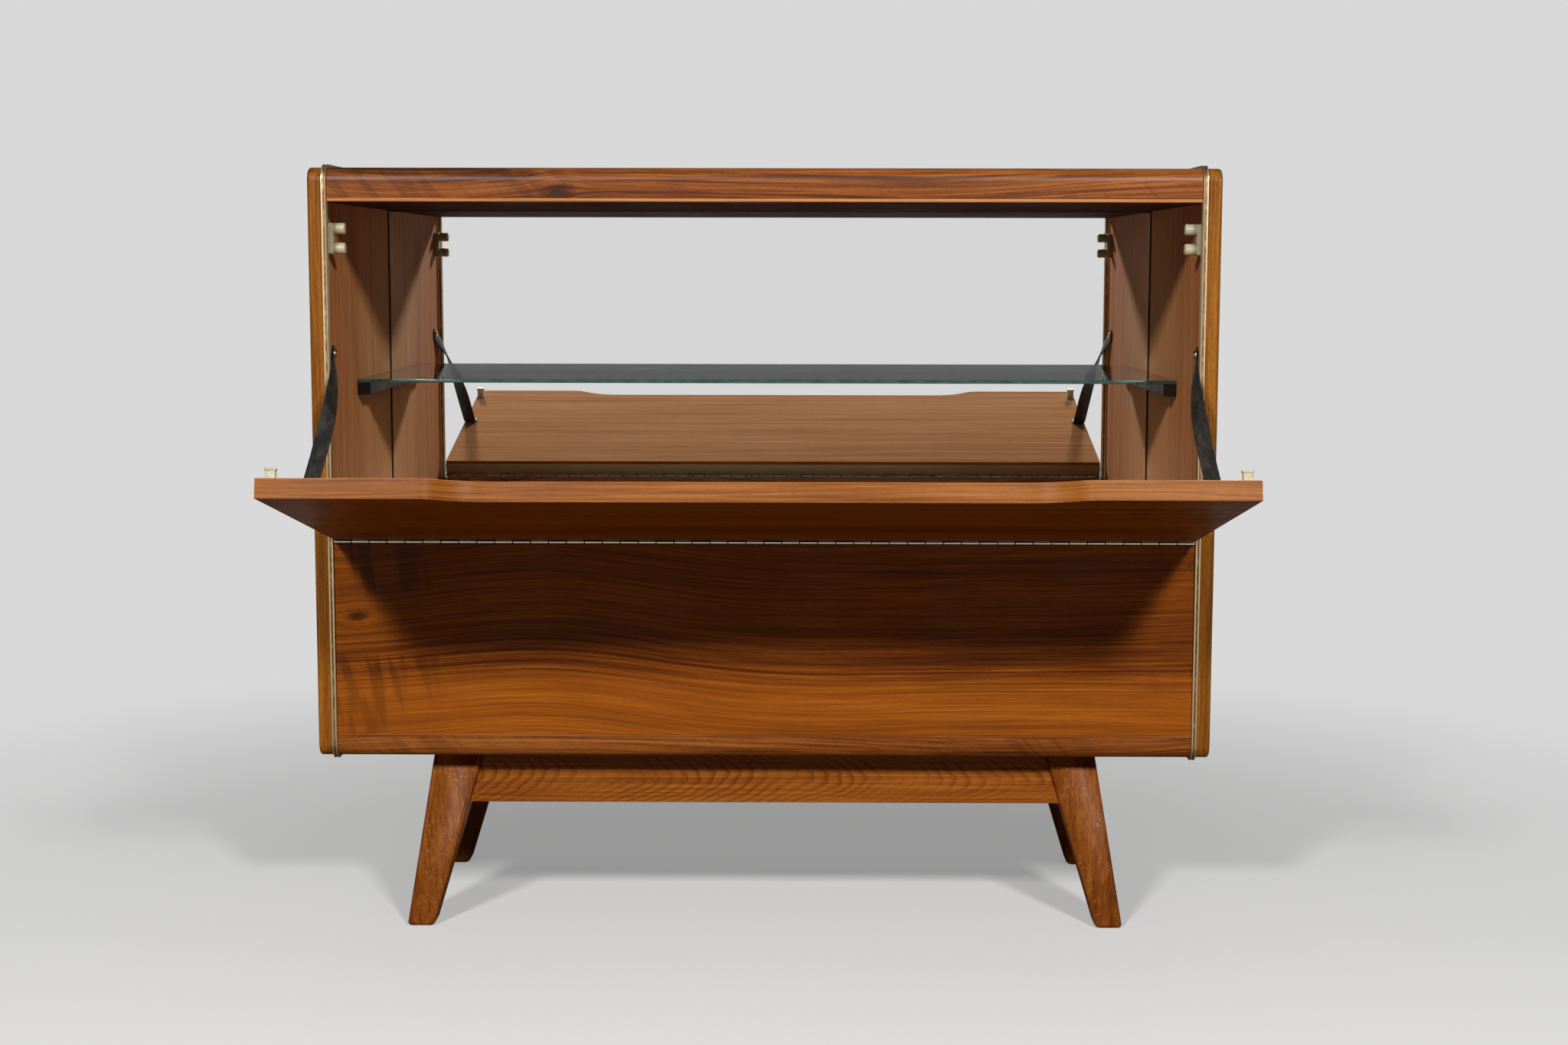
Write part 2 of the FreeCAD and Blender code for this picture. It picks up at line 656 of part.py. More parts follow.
apron("apron_front", "leg_front_inset + apron_recess")
apron("apron_rear", "leg_rear_front + leg_top_depth - apron_recess - rail_thickness")
for side, x in (("left", "side_rail_recess - leg_top_outer"),
                ("right", "leg_top_outer - side_rail_recess - rail_thickness")):
    keep("side_rail_" + side, box("rail_" + side, "rail_thickness", "rail_run", "rail_height"),
         x, "front + leg_front_inset + leg_top_depth", "leg_height - rail_height")

# Check every object, then write one file for each sub-part
doc.recompute()
broken = [item.Label for item in doc.Objects
          if "Invalid" in item.State or "Error" in item.State]
broken += [node for node, piece in nodes.items()
           if piece.Shape.isNull() or not piece.Shape.isValid() or not piece.Shape.Solids]
if broken:
    raise RuntimeError("failed: " + ", ".join(broken))
for node, piece in nodes.items():
    piece.Shape.exportStep("parts/%s.step" % node)
print("%d sub-parts" % len(nodes))
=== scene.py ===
"""Bar cabinet: finishes, small hardware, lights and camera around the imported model.

Metres. +X is to the right, +Y to the back, +Z up, with the origin on the floor.
"""
import json
from math import cos, pi, radians, sin, sqrt

import bmesh
import bpy
import numpy as np
from mathutils import Matrix, Vector


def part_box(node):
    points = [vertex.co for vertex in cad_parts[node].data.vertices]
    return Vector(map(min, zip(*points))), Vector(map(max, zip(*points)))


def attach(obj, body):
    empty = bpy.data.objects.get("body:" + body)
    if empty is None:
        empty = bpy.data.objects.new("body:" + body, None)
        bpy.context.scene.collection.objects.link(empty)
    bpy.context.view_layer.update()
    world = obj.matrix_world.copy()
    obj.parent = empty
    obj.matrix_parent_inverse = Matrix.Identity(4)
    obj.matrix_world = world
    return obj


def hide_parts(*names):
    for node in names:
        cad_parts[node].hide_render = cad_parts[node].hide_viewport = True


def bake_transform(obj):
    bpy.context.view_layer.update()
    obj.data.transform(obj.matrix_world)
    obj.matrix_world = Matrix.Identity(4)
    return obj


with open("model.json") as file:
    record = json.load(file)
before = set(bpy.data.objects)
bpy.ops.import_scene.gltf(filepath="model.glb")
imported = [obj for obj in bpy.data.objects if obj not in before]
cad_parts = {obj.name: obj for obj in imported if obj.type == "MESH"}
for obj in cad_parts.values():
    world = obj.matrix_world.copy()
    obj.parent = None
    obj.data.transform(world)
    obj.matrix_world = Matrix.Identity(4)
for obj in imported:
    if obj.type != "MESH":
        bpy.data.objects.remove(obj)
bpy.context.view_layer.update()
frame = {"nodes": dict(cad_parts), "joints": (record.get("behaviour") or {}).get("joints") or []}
MM = 0.001
SIDES = {"left": -1, "right": 1}
scene = bpy.context.scene

# Places read from the model
INNER_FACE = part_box("side_panel_right")[0].x
CASE_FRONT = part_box("side_panel_left")[0].y
MIRROR_LOW, MIRROR_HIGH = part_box("back_mirror")
PIN_LOW, PIN_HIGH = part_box("hinge_pin")
HINGE = next(joint for joint in frame["joints"] if joint["name"] == "flap_hinge")
AXIS = Vector(HINGE["pos_m"])
OPEN_ANGLE = radians(HINGE["range_deg"][1])
SHUT_TO_OPEN = Matrix.Translation(AXIS) @ Matrix.Rotation(OPEN_ANGLE, 4, "X")
FLAP_INWARDS = SHUT_TO_OPEN.to_3x3() @ Vector((0, 1, 0))

# Camera
CAMERA_PLACE = Vector((0.0390, -2.4287, 0.7407))
CAMERA_PITCH = radians(6.504)
CAMERA_YAW = radians(0.413)
CAMERA_ROLL = radians(0.100)
CAMERA_LENS = 51.65
CAMERA_SENSOR = 36.0


def middle_of(node):
    low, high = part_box(node)
    return (low + high) / 2


def link_object(name, data):
    piece = bpy.data.objects.new(name, data)
    scene.collection.objects.link(piece)
    return piece


def make_camera():
    data = bpy.data.cameras.new("camera")
    data.lens = CAMERA_LENS
    data.sensor_width = CAMERA_SENSOR
    camera = link_object("camera", data)
    camera.matrix_world = (Matrix.Translation(CAMERA_PLACE)
                           @ Matrix.Rotation(CAMERA_YAW, 4, "Z")
                           @ Matrix.Rotation(pi / 2 - CAMERA_PITCH, 4, "X")
                           @ Matrix.Rotation(CAMERA_ROLL, 4, "Z"))
    scene.camera = camera


BUMP_DISTANCE = 0.2 * MM


class Value:
    """Output of a node in a form that sums can be written with."""

    def __init__(self, tree, socket):
        self.tree = tree
        self.socket = socket

    def __add__(self, other):
        return self.tree.math("ADD", self, other)

    def __sub__(self, other):
        return self.tree.math("SUBTRACT", self, other)

    def __rsub__(self, other):
        return self.tree.math("SUBTRACT", other, self)

    def __mul__(self, other):
        return self.tree.math("MULTIPLY", self, other)

    def __truediv__(self, other):
        return self.tree.math("DIVIDE", self, other)

    def __abs__(self):
        return self.tree.math("ABSOLUTE", self)

    __radd__ = __add__


class Tree:
    """Node tree of one material or of the world, built one call at a time."""

    def __init__(self, owner):
        owner.use_nodes = True
        self.owner = owner
        self.nodes = owner.node_tree.nodes
        self.links = owner.node_tree.links
        self.nodes.clear()
        places = self.add("TexCoord").outputs
        self.place, self.direction = places["Object"], places["Generated"]

    def add(self, kind, inputs=(), **settings):
        node = self.nodes.new("ShaderNode" + kind)
        for key, value in settings.items():
            setattr(node, key, value)
        for key, value in dict(inputs).items():
            self.put(node.inputs[key], value)
        return node

    def put(self, socket, value):
        """Feed an input with a value, a bare output or plain numbers."""
        value = getattr(value, "socket", value)
        if isinstance(value, bpy.types.NodeSocket):
            self.links.new(value, socket)
        elif socket.type == "RGBA" and len(value) == 3:
            socket.default_value = (*value, 1.0)
        else:
            socket.default_value = value

    def value(self, kind, inputs=(), output=0, **settings):
        """Output of a new node, the first one unless another is named."""
        return Value(self, self.add(kind, inputs, **settings).outputs[output])

    def math(self, operation, *values):
        return self.value("Math", enumerate(values), operation=operation)

    def most(self, first, second):
        return self.math("MAXIMUM", first, second)

    def vector(self, operation, *values):
        output = "Value" if operation == "LENGTH" else "Vector"
        return self.value("VectorMath", enumerate(values), output, operation=operation)

    def ease(self, value, start, end, low=0.0, high=1.0):
        """Smooth step from low at start to high at end."""
        return self.value("MapRange", enumerate((value, start, end, low, high)),
                          interpolation_type="SMOOTHSTEP")

    def mix(self, factor, first, second):
        return self.value("Mix", {0: factor, 6: first, 7: second}, 2, data_type="RGBA")

    def split(self, place):
        return [Value(self, socket) for socket in self.add("SeparateXYZ", {0: place}).outputs]

    def join(self, x, y, z):
        return self.value("CombineXYZ", {0: x, 1: y, 2: z})

    def noise(self, place, scales, seed, detail=2.0, roughness=0.5):
        """Noise with its swings per metre along each axis; the last scale serves any axis left."""
        scaled = self.vector("MULTIPLY", place, (*scales, scales[-1], scales[-1])[:3])
        moved = self.vector("ADD", scaled, (seed, 1.7 * seed, 2.3 * seed))
        return self.value("TexNoise", {"Vector": moved, "Scale": 1.0, "Detail": detail,
                                       "Roughness": roughness})

    def ramp(self, value, stops):
        """Colour ramp through (position, colour) stops."""
        stops = list(stops)
        node = self.add("ValToRGB", {0: value})
        elements = node.color_ramp.elements
        while len(elements) < len(stops):
            elements.new(0.5)
        for element, (position, colour) in zip(elements, stops):
            element.position = position
            element.color = (*colour, 1.0)
        return node.outputs[0]

    def finish(self, colour, roughness, others=(), height=None, bump_strength=0.1):
        """Material with those values, others by their sockets' names and an optional bump."""
        sockets = {"Base Color": colour, "Roughness": roughness, **dict(others)}
        if height is not None:
            bump = self.add("Bump", {"Height": height, "Strength": bump_strength,
                                     "Distance": BUMP_DISTANCE})
            sockets["Normal"] = bump.outputs[0]
        shader = self.add("BsdfPrincipled", sockets)
        self.add("OutputMaterial", {"Surface": shader.outputs[0]})
        return self.owner


def new_tree(name):
    return Tree(bpy.data.materials.new(name))


# Wood
RIPPLE_PITCH = 9 * MM
PORE_LENGTH, PORE_WIDTH = 6 * MM, 0.35 * MM
# Swings per metre along the grain and across it
SLOW_SCALES, BROAD_SCALES, LINE_SCALES = (1.7, 3.5), (1.1, 17.0), (2.2, 150.0)
HAIR_SCALES, VEIN_SCALES, PATCH_SCALES = (9.0, 540.0), (0.8, 46.0), (4.0, 14.0)
CURL_SCALES, PORE_SCALES = (0.75 / RIPPLE_PITCH, 11.0), (1 / PORE_LENGTH, 1 / PORE_WIDTH)
BROAD_SHARE, LINE_SHARE, HAIR_SHARE = 0.22, 0.36, 0.42
DARK_LEVEL, MIDDLE_LEVEL, LIGHT_LEVEL = 0.40, 0.5, 0.60
STAIN_SHARE, RAGGED_SHARE, HAIR_RISE = 0.28, 2.2, 0.4
KNOT_LONG, KNOT_TALL = 2.4, 1.3
# Where noises and distances ease in, and the values that they give there
KNOT_PULL, KNOT_SHADE = (0.2, 2.4, 0.72, 0.0), (0.15, 1.1, 0.85, 0.0)
VEIN_EASE, PIT_EASE = (0.56, 0.7, 0.0), (0.62, 0.72)
CURL_EASE, PATCH_EASE = (0.44, 0.62), (0.38, 0.58)


def wood_tree(name, along):
    """Tree of a new wood, and its places with the grain's direction first."""
    tree = new_tree(name)
    x, y, z = tree.split(tree.place)
    return tree, tree.join(*{"x": (x, z, y), "y": (y, x, z), "z": (z, x, y)}[along])


def bowed(tree, along, across, arch):
    """Level of a grain that bows up; arch is where it is highest, its half span and its rise."""
    middle, span, rise = arch
    off = (along - middle) / span
    level_share = tree.math("EXPONENT", off * off * -1.0)
    return across + (1.0 - level_share) * rise


def knotted(tree, along, across, knots):
    """Level of a grain that knots draw in, and their shade.

    Each knot is a place along, a level and a radius."""
    shade = 0.0
    for knot_along, level, radius in knots:
        aside = (along - knot_along) / (KNOT_LONG * radius)
        above = (across - level) / (KNOT_TALL * radius)
        reach = tree.vector("LENGTH", tree.join(aside, above, 0.0))
        pull = tree.ease(reach, *KNOT_PULL) * (above * (KNOT_TALL * radius))
        across = across - pull
        shade = tree.most(shade, tree.ease(reach, *KNOT_SHADE))
    return across, shade


def rippled(tree, warped, colour, stain, seed, ripple):
    """Colour with patches of short ripples across the grain.

    ripple is its strength, where along it starts and is full, and its lean."""
    strength, start, full, lean = ripple
    along, across, depth = tree.split(warped)
    leaned = tree.join(along + across * lean, across, depth)
    curl = tree.ease(tree.noise(leaned, CURL_SCALES, seed + 17, 1.5), *CURL_EASE)
    zone = tree.ease(abs(along), start, full)
    patch = tree.ease(tree.noise(warped, PATCH_SCALES, seed + 19, 1.0), *PATCH_EASE)
    return tree.mix(curl * (zone * patch * strength), colour, stain)


def veneer(tree, place, tones, seed, arch=None, waver=0.03, bands=(), knots=(), ripple=None,
           streaks=0.5, pores=0.4):
    """Colour and height of a veneer whose grain runs along the place's first axis.

    bands are dark streaks, each a level, a half width and a strength."""
    along, across, depth = tree.split(place)
    slow = tree.noise(place, SLOW_SCALES, seed, 1.0)
    across = across + (slow - 0.5) * waver
    if arch:
        across = bowed(tree, along, across, arch)
    across, knot_shade = knotted(tree, along, across, knots)
    warped = tree.join(along, across, depth)
    broad = tree.noise(warped, BROAD_SCALES, seed + 3)
    lines = tree.noise(warped, LINE_SCALES, seed + 7, 5.0, 0.62)
    hairs = tree.noise(warped, HAIR_SCALES, seed + 11, 3.0, 0.65)
    tone = broad * BROAD_SHARE + (lines * LINE_SHARE + hairs * HAIR_SHARE)
    colour = tree.ramp(tone, zip((DARK_LEVEL, MIDDLE_LEVEL, LIGHT_LEVEL), tones))
    veins = tree.ease(tree.noise(warped, VEIN_SCALES, seed + 13, 3.0, 0.55), *VEIN_EASE, streaks)
    for level, half_width, strength in bands:
        edge = (lines - 0.5) * (RAGGED_SHARE * half_width)
        gap = abs(across + edge - level)
        veins = tree.most(veins, tree.ease(gap, 0.0, half_width, strength, 0.0))
    stain = tuple(STAIN_SHARE * part for part in tones[0])
    colour = tree.mix(tree.most(veins, knot_shade), colour, stain)
    if ripple:
        colour = rippled(tree, warped, colour, stain, seed, ripple)
    pits = tree.ease(tree.noise(warped, PORE_SCALES, seed + 23, 0.0), *PIT_EASE)
    height = hairs * HAIR_RISE - pits
    return tree.mix(pits * pores, colour, stain), height


MATT_ROUGH = 0.66
GLOSS_BELOW, GLOSS_ABOVE = 0.05, 0.07


def lacquered(tree, colour, height, gloss_place=None, rough=0.36, coat=0.0, coat_rough=0.09,
              level=0.12, matt=None):
    """Wood under a satin lacquer that is a little uneven; matt is where it has none."""
    place = tree.place if gloss_place is None else gloss_place
    wear = tree.noise(place, (9.0,), 5.0, 4.0, 0.6)
    roughness = tree.ease(wear, 0.3, 0.7, rough - GLOSS_BELOW, rough + GLOSS_ABOVE)
    if matt:
        roughness = roughness + matt * (MATT_ROUGH - rough)
    return tree.finish(colour, roughness, {"Coat Weight": coat, "Coat Roughness": coat_rough,
                                           "Specular IOR Level": level}, height, 0.05)


INNER_SKIN = 0.3 * MM
SIDE_OUTER = ((0.110, 0.031, 0.002), (0.240, 0.076, 0.005), (0.345, 0.128, 0.013))
SIDE_INNER = ((0.370, 0.116, 0.028), (0.570, 0.205, 0.058), (0.710, 0.305, 0.104))
SIDE_PALE_BACK = (0.90, 0.46, 0.19)
PALE_BACK_SHARE = 0.5


def side_wood():
    """Honey brown outside and on the edges, redder towards the bay and paler towards its back."""
    tree, place = wood_tree("side_wood", "z")
    outer, outer_height = veneer(tree, place, SIDE_OUTER, 2.0, waver=0.02, streaks=0.35, pores=0.55)
    inner, inner_height = veneer(tree, place, SIDE_INNER, 31.0, streaks=0.25, pores=0.3)
    x, y, _ = tree.split(tree.place)
    inner = tree.mix(tree.ease(y, CASE_FRONT, MIRROR_LOW.y, 0.0, PALE_BACK_SHARE), inner, SIDE_PALE_BACK)
    outside = tree.ease(abs(x), INNER_FACE + INNER_SKIN / 2, INNER_FACE + INNER_SKIN)
    colour = tree.mix(outside, inner, outer)
    height = outer_height * 0.5 + inner_height * 0.5
    return lacquered(tree, colour, height, rough=0.42, matt=1.0 - outside)


CASE_TONES = ((0.070, 0.015, 0.002), (0.225, 0.058, 0.008), (0.360, 0.118, 0.020))
TOP_KNOT = (-0.219, 0.8281, 9 * MM)
CASE_RIPPLE = (0.32, 0.1, 0.3, 0.9)


def case_wood():
    """Reddish brown, with ripples that lean across dark streaks, and one knot."""
    tree, place = wood_tree("case_wood", "x")
    colour, height = veneer(tree, place, CASE_TONES, 5.0, waver=0.075, knots=(TOP_KNOT,),
                            ripple=CASE_RIPPLE, streaks=0.9)
    return lacquered(tree, colour, height, rough=0.46, coat=0.28, coat_rough=0.34, level=0.05)


FRONT_TONES = ((0.115, 0.024, 0.002), (0.265, 0.062, 0.003), (0.410, 0.122, 0.009))
FRONT_PLAIN = (0.300, 0.082, 0.005)
PLAIN_TOP, PLAIN_FADE, PLAIN_SHARE = 0.306, 22 * MM, 0.38
FRONT_ARCH = (-0.225, 0.158, 24 * MM)
FRONT_KNOT = (-0.44, 0.3826, 7 * MM)
FRONT_RIPPLE = (0.6, 0.3, 0.42, 0.2)
FRONT_BANDS = ((0.3080, 1.5 * MM, 0.80), (0.3170, 1.7 * MM, 0.65), (0.3250, 1.2 * MM, 0.50),
               (0.3300, 2.4 * MM, 0.75), (0.3410, 1.3 * MM, 0.50), (0.3600, 1.0 * MM, 0.35))


def front_wood():
    """Amber, with dark lines in a shallow arch, ripples near both ends and a plain lower strip."""
    tree, place = wood_tree("front_wood", "x")
    colour, height = veneer(tree, place, FRONT_TONES, 8.0, arch=FRONT_ARCH, bands=FRONT_BANDS,
                            knots=(FRONT_KNOT,), ripple=FRONT_RIPPLE, streaks=0.35)
    drift = tree.noise(place, (1.6, 6.0), 77.0, 1.0) - 0.5
    level = tree.split(place)[1] + drift * PLAIN_FADE
    plain = tree.ease(level, PLAIN_TOP, PLAIN_TOP - PLAIN_FADE, 0.0, PLAIN_SHARE)
    colour = tree.mix(plain, colour, FRONT_PLAIN)
    return lacquered(tree, colour, height)


INSIDE_TONES = ((0.055, 0.016, 0.004), (0.110, 0.034, 0.010), (0.170, 0.060, 0.020))
EDGE_TONES = ((0.36, 0.135, 0.040), (0.50, 0.205, 0.066), (0.60, 0.27, 0.10))
CEILING_EDGE_SHOWN, FLOOR_EDGE_SHOWN = 3.6 * MM, 20 * MM
FLOOR_EDGE_TONES = ((0.14, 0.035, 0.004), (0.23, 0.062, 0.010), (0.34, 0.120, 0.030))
EDGE_DARK_ARRIS, DARK_ARRIS_SHARE = 1.2 * MM, 0.3


def inside_wood(name, edge_tones, seed, shown):
    """Matt brown lining with a solid edge of its own at the front, darker along its lower arris.

    The edge is dark above the height that is shown, where it lies in the shade of the board over it."""
    tree, place = wood_tree(name, "x")
    face, height = veneer(tree, place, INSIDE_TONES, seed, streaks=0.3)
    edge, edge_height = veneer(tree, place, edge_tones, seed + 2.0, streaks=0.15, pores=0.2)
    _, y, z = tree.split(tree.place)
    at_front = tree.ease(y, CASE_FRONT + INNER_SKIN, CASE_FRONT + INNER_SKIN / 2)
    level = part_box(name)[0].z
    darker_arris = tree.ease(z, level + EDGE_DARK_ARRIS / 2, level + EDGE_DARK_ARRIS, DARK_ARRIS_SHARE, 1.0)
    # Painted shade: above the height that is shown the edge takes the lining's dark colour
    below_painted_shade = tree.ease(z, level + shown + INNER_SKIN, level + shown)
    colour = tree.mix(at_front * (darker_arris * below_painted_shade), face, edge)
    return lacquered(tree, colour, height + edge_height, rough=0.7, level=0.05)


FLAP_OUTER = ((0.150, 0.034, 0.002), (0.280, 0.070, 0.005), (0.380, 0.120, 0.014))
FLAP_INNER = ((0.450, 0.200, 0.084), (0.590, 0.285, 0.128), (0.700, 0.370, 0.180))
FLAP_EDGE = ((0.150, 0.042, 0.005), (0.262, 0.082, 0.011), (0.365, 0.138, 0.028))
FLAP_OUTER_DEPTH, FLAP_INNER_DEPTH = 1.5 * MM, 20.5 * MM
FLAP_RIPPLE = (0.35, 0.25, 0.42, 0.0)
EDGE_GLOSS = {"coat": 0.28, "coat_rough": 0.07, "level": 0.1}
OUTSIDE_GLOSS = {"rough": 0.45, "level": 0.05}
INSIDE_GLOSS = {"rough": 0.62, "level": 0.0}


def flap_wood(name, gloss):
    """Amber on the outer face, pinkish brown on the inner face, with a plain band round the edges."""
    tree = new_tree(name)
    x, y, z = tree.split(tree.vector("SUBTRACT", tree.place, tuple(AXIS)))
    cosine, sine = cos(OPEN_ANGLE), sin(OPEN_ANGLE)
    depth = y * cosine + z * sine
    height_up = z * cosine - y * sine
    place = tree.join(x, height_up, depth)
    outer, outer_height = veneer(tree, place, FLAP_OUTER, 41.0, waver=0.05, ripple=FLAP_RIPPLE)
    inner, inner_height = veneer(tree, place, FLAP_INNER, 47.0, waver=0.04, streaks=0.16, pores=0.25)
    edge, edge_height = veneer(tree, tree.join(x, depth, 0.0), FLAP_EDGE, 53.0, waver=0.02,
                               streaks=0.25, pores=0.3)
    at_outer = tree.ease(depth, FLAP_OUTER_DEPTH + INNER_SKIN, FLAP_OUTER_DEPTH + INNER_SKIN / 2)
    at_inner = tree.ease(depth, FLAP_INNER_DEPTH - INNER_SKIN, FLAP_INNER_DEPTH - INNER_SKIN / 2)
    colour = tree.mix(at_inner, tree.mix(at_outer, edge, outer), inner)
    height = outer_height + (inner_height + edge_height)
    return lacquered(tree, colour, height, **gloss)


APRON_TONES = ((0.185, 0.045, 0.004), (0.285, 0.078, 0.008), (0.370, 0.118, 0.016))
APRON_LINE = (0.075, 0.016, 0.001)
ARC_PITCH = 15 * MM
ARC_HALF_HEIGHT = 14 * MM
ARC_REACH, ARC_WAVER = 1.3, 3.4
ARC_START, ARC_FULL = 0.35, 0.94
RAY_SHARE = 0.3


def apron_wood():
    """Stained beech, with nested arcs that point to the right and fine short rays."""
    tree, place = wood_tree("apron_wood", "x")
    along, across, _ = tree.split(place)
    colour, height = veneer(tree, place, APRON_TONES, 61.0, waver=0.01, streaks=0.1, pores=0.25)
    waver = tree.noise(place, (7.0, 22.0), 3.0, 3.0)
    level = (across - middle_of("apron_front").z) / ARC_HALF_HEIGHT
    bowl = level * level * (ARC_REACH / 2)
    ring = along / ARC_PITCH + (bowl + waver * ARC_WAVER)
    phase = tree.math("FRACT", ring)
    line = tree.ease(phase, ARC_START, ARC_FULL) * tree.ease(phase, 1.0, 0.95)
    strength = tree.ease(tree.noise(place, (8.0, 24.0), 15.0, 1.0), 0.34, 0.62, 0.15, 0.6)
    colour = tree.mix(line * strength, colour, APRON_LINE)
    flecks = tree.ease(tree.noise(place, (130.0, 900.0), 9.0, 1.0), 0.6, 0.7)
    colour = tree.mix(flecks * RAY_SHARE, colour, APRON_TONES[2])
    return lacquered(tree, colour, height, place, coat=0.08)


LEG_TONES = ((0.122, 0.028, 0.003), (0.232, 0.061, 0.006), (0.320, 0.104, 0.014))
LEG_FLECK = (0.47, 0.21, 0.065)
MOTTLE_SHARE, FLECK_SHARE, FLECK_LEAN = 0.4, 0.75, 0.45


def leg_wood():
    """Stained beech: mottled along the leg, with short pale flecks."""
    tree, place = wood_tree("leg_wood", "z")
    colour, height = veneer(tree, place, LEG_TONES, 71.0, waver=0.02, streaks=0.25, pores=0.3)
    mottle = tree.ease(tree.noise(place, (45.0, 120.0), 4.0, 3.0, 0.65), 0.36, 0.66)
    colour = tree.mix(mottle * MOTTLE_SHARE, colour, LEG_TONES[0])
    x, y, z = tree.split(tree.place)
    leaned = tree.join(x + z * FLECK_LEAN, y, z)
    flecks = tree.noise(leaned, (1000.0, 800.0, 230.0), 9.0, 1.0)
    rarely = tree.ease(tree.noise(place, (30.0, 60.0), 6.0, 1.0), 0.42, 0.62)
    bright = tree.ease(flecks, 0.58, 0.70) * rarely
    colour = tree.mix(bright * FLECK_SHARE, colour, LEG_FLECK)
    return lacquered(tree, colour, height, rough=0.44)


# Near black for the cleats: painted shade, standing in for the shade on their front ends
CLEAT_PAINTED_SHADE_TONES = ((0.006, 0.005, 0.004), (0.012, 0.009, 0.007), (0.024, 0.017, 0.013))
BOARD_TONES = ((0.16, 0.088, 0.045), (0.25, 0.145, 0.078), (0.33, 0.205, 0.118))


def plain_wood(name, along, tones, seed, rough):
    tree, place = wood_tree(name, along)
    colour, height = veneer(tree, place, tones, seed, streaks=0.2, pores=0.3)
    return lacquered(tree, colour, height, rough=rough)


# Mirror, glass, metal, plastic and strap
SILVER = (0.965, 0.972, 0.965)
BACKING_AND_PAINTED_SHADE = (0.008, 0.008, 0.008)
MIRROR_SIDE_SHADOW_LINE = 2.6 * MM
MIRROR_TOP_SHADOW_LINE = 2.0 * MM
SHADOW_LINE_SOFT_SHARE = 0.8
BACKING_AND_SHADE_ROUGH = 0.4
MIRROR_RIM = 12 * MM


def mirror_glass():
    """Silvered glass with a painted shadow line along its sides and top, and its dark backing behind."""
    tree = new_tree("mirror_glass")
    x, y, z = tree.split(tree.place)
    # Painted shadow lines where the mirror meets the side panels and the board over it
    side = tree.ease(abs(x), MIRROR_HIGH.x - MIRROR_SIDE_SHADOW_LINE,
                     MIRROR_HIGH.x - SHADOW_LINE_SOFT_SHARE * MIRROR_SIDE_SHADOW_LINE)
    top = tree.ease(z, MIRROR_HIGH.z - MIRROR_TOP_SHADOW_LINE, MIRROR_HIGH.z - SHADOW_LINE_SOFT_SHARE * MIRROR_TOP_SHADOW_LINE)
    behind = tree.ease(y, MIRROR_LOW.y + INNER_SKIN / 2, MIRROR_LOW.y + INNER_SKIN)
    dark_backing_and_shade = tree.most(tree.most(side, top), behind)
    specks = tree.ease(tree.noise(tree.place, (260.0,), 2.0, 2.0), 0.74, 0.78)
    rim = tree.ease(abs(x), MIRROR_HIGH.x - MIRROR_RIM, MIRROR_HIGH.x)
    dark_backing_and_shade = tree.most(dark_backing_and_shade, specks * rim)
    colour = tree.mix(dark_backing_and_shade, SILVER, BACKING_AND_PAINTED_SHADE)
    return tree.finish(colour, dark_backing_and_shade * BACKING_AND_SHADE_ROUGH, {"Metallic": 1.0 - dark_backing_and_shade})


GLASS_IOR = 1.5
EDGE_SHARE = 0.8
GLASS_TINT = (0.49, 0.57, 0.53)
GLASS_EDGE = (0.020, 0.062, 0.050)
GLASS_EDGE_LIT = (0.050, 0.120, 0.098)
EDGE_DEPTH, END_DEPTH, EDGE_SOFT = 0.7 * MM, 0.2 * MM, 0.2 * MM


def shelf_glass():
    """Clear glass, deep green where the eye looks into its edges."""
    tree = new_tree("shelf_glass")
    x, y, _ = tree.split(tree.place)
    low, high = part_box("glass_shelf")
    front = tree.ease(y, low.y + EDGE_DEPTH + EDGE_SOFT, low.y + EDGE_DEPTH)
    ends = tree.ease(abs(x), high.x - END_DEPTH - EDGE_SOFT, high.x - END_DEPTH)
    edge = tree.most(front, ends)
    cloud = tree.noise(tree.place, (60.0, 60.0, 300.0), 7.0, 3.0)
    green = tree.mix(tree.ease(cloud, 0.35, 0.65), GLASS_EDGE, GLASS_EDGE_LIT)
    colour = tree.mix(edge, GLASS_TINT, green)
    clear = 1.0 - edge * EDGE_SHARE
    smudge = tree.noise(tree.place, (14.0,), 3.0, 4.0, 0.65)
    roughness = tree.ease(smudge, 0.45, 0.75, 0.0, 0.05)
    return tree.finish(colour, roughness, {"Transmission Weight": clear, "IOR": GLASS_IOR})


RIDGE_BRASS = (0.86, 0.70, 0.42)
TARNISH_AND_PAINTED_LIGHT_BRASS = (0.20, 0.105, 0.045)
TRIM_RIDGE, RIDGE_SOFT = 1.15 * MM, 0.3 * MM
FLANK_START_SHARE, FLANK_FULL_SHARE, FLANK_SHADE_SHARE = 0.96, 0.99, 0.6
SPOT_SHARE = 0.2
BRASS_ROUGH, NICKEL_ROUGH, DULL_ROUGH = 0.34, 0.26, 0.2


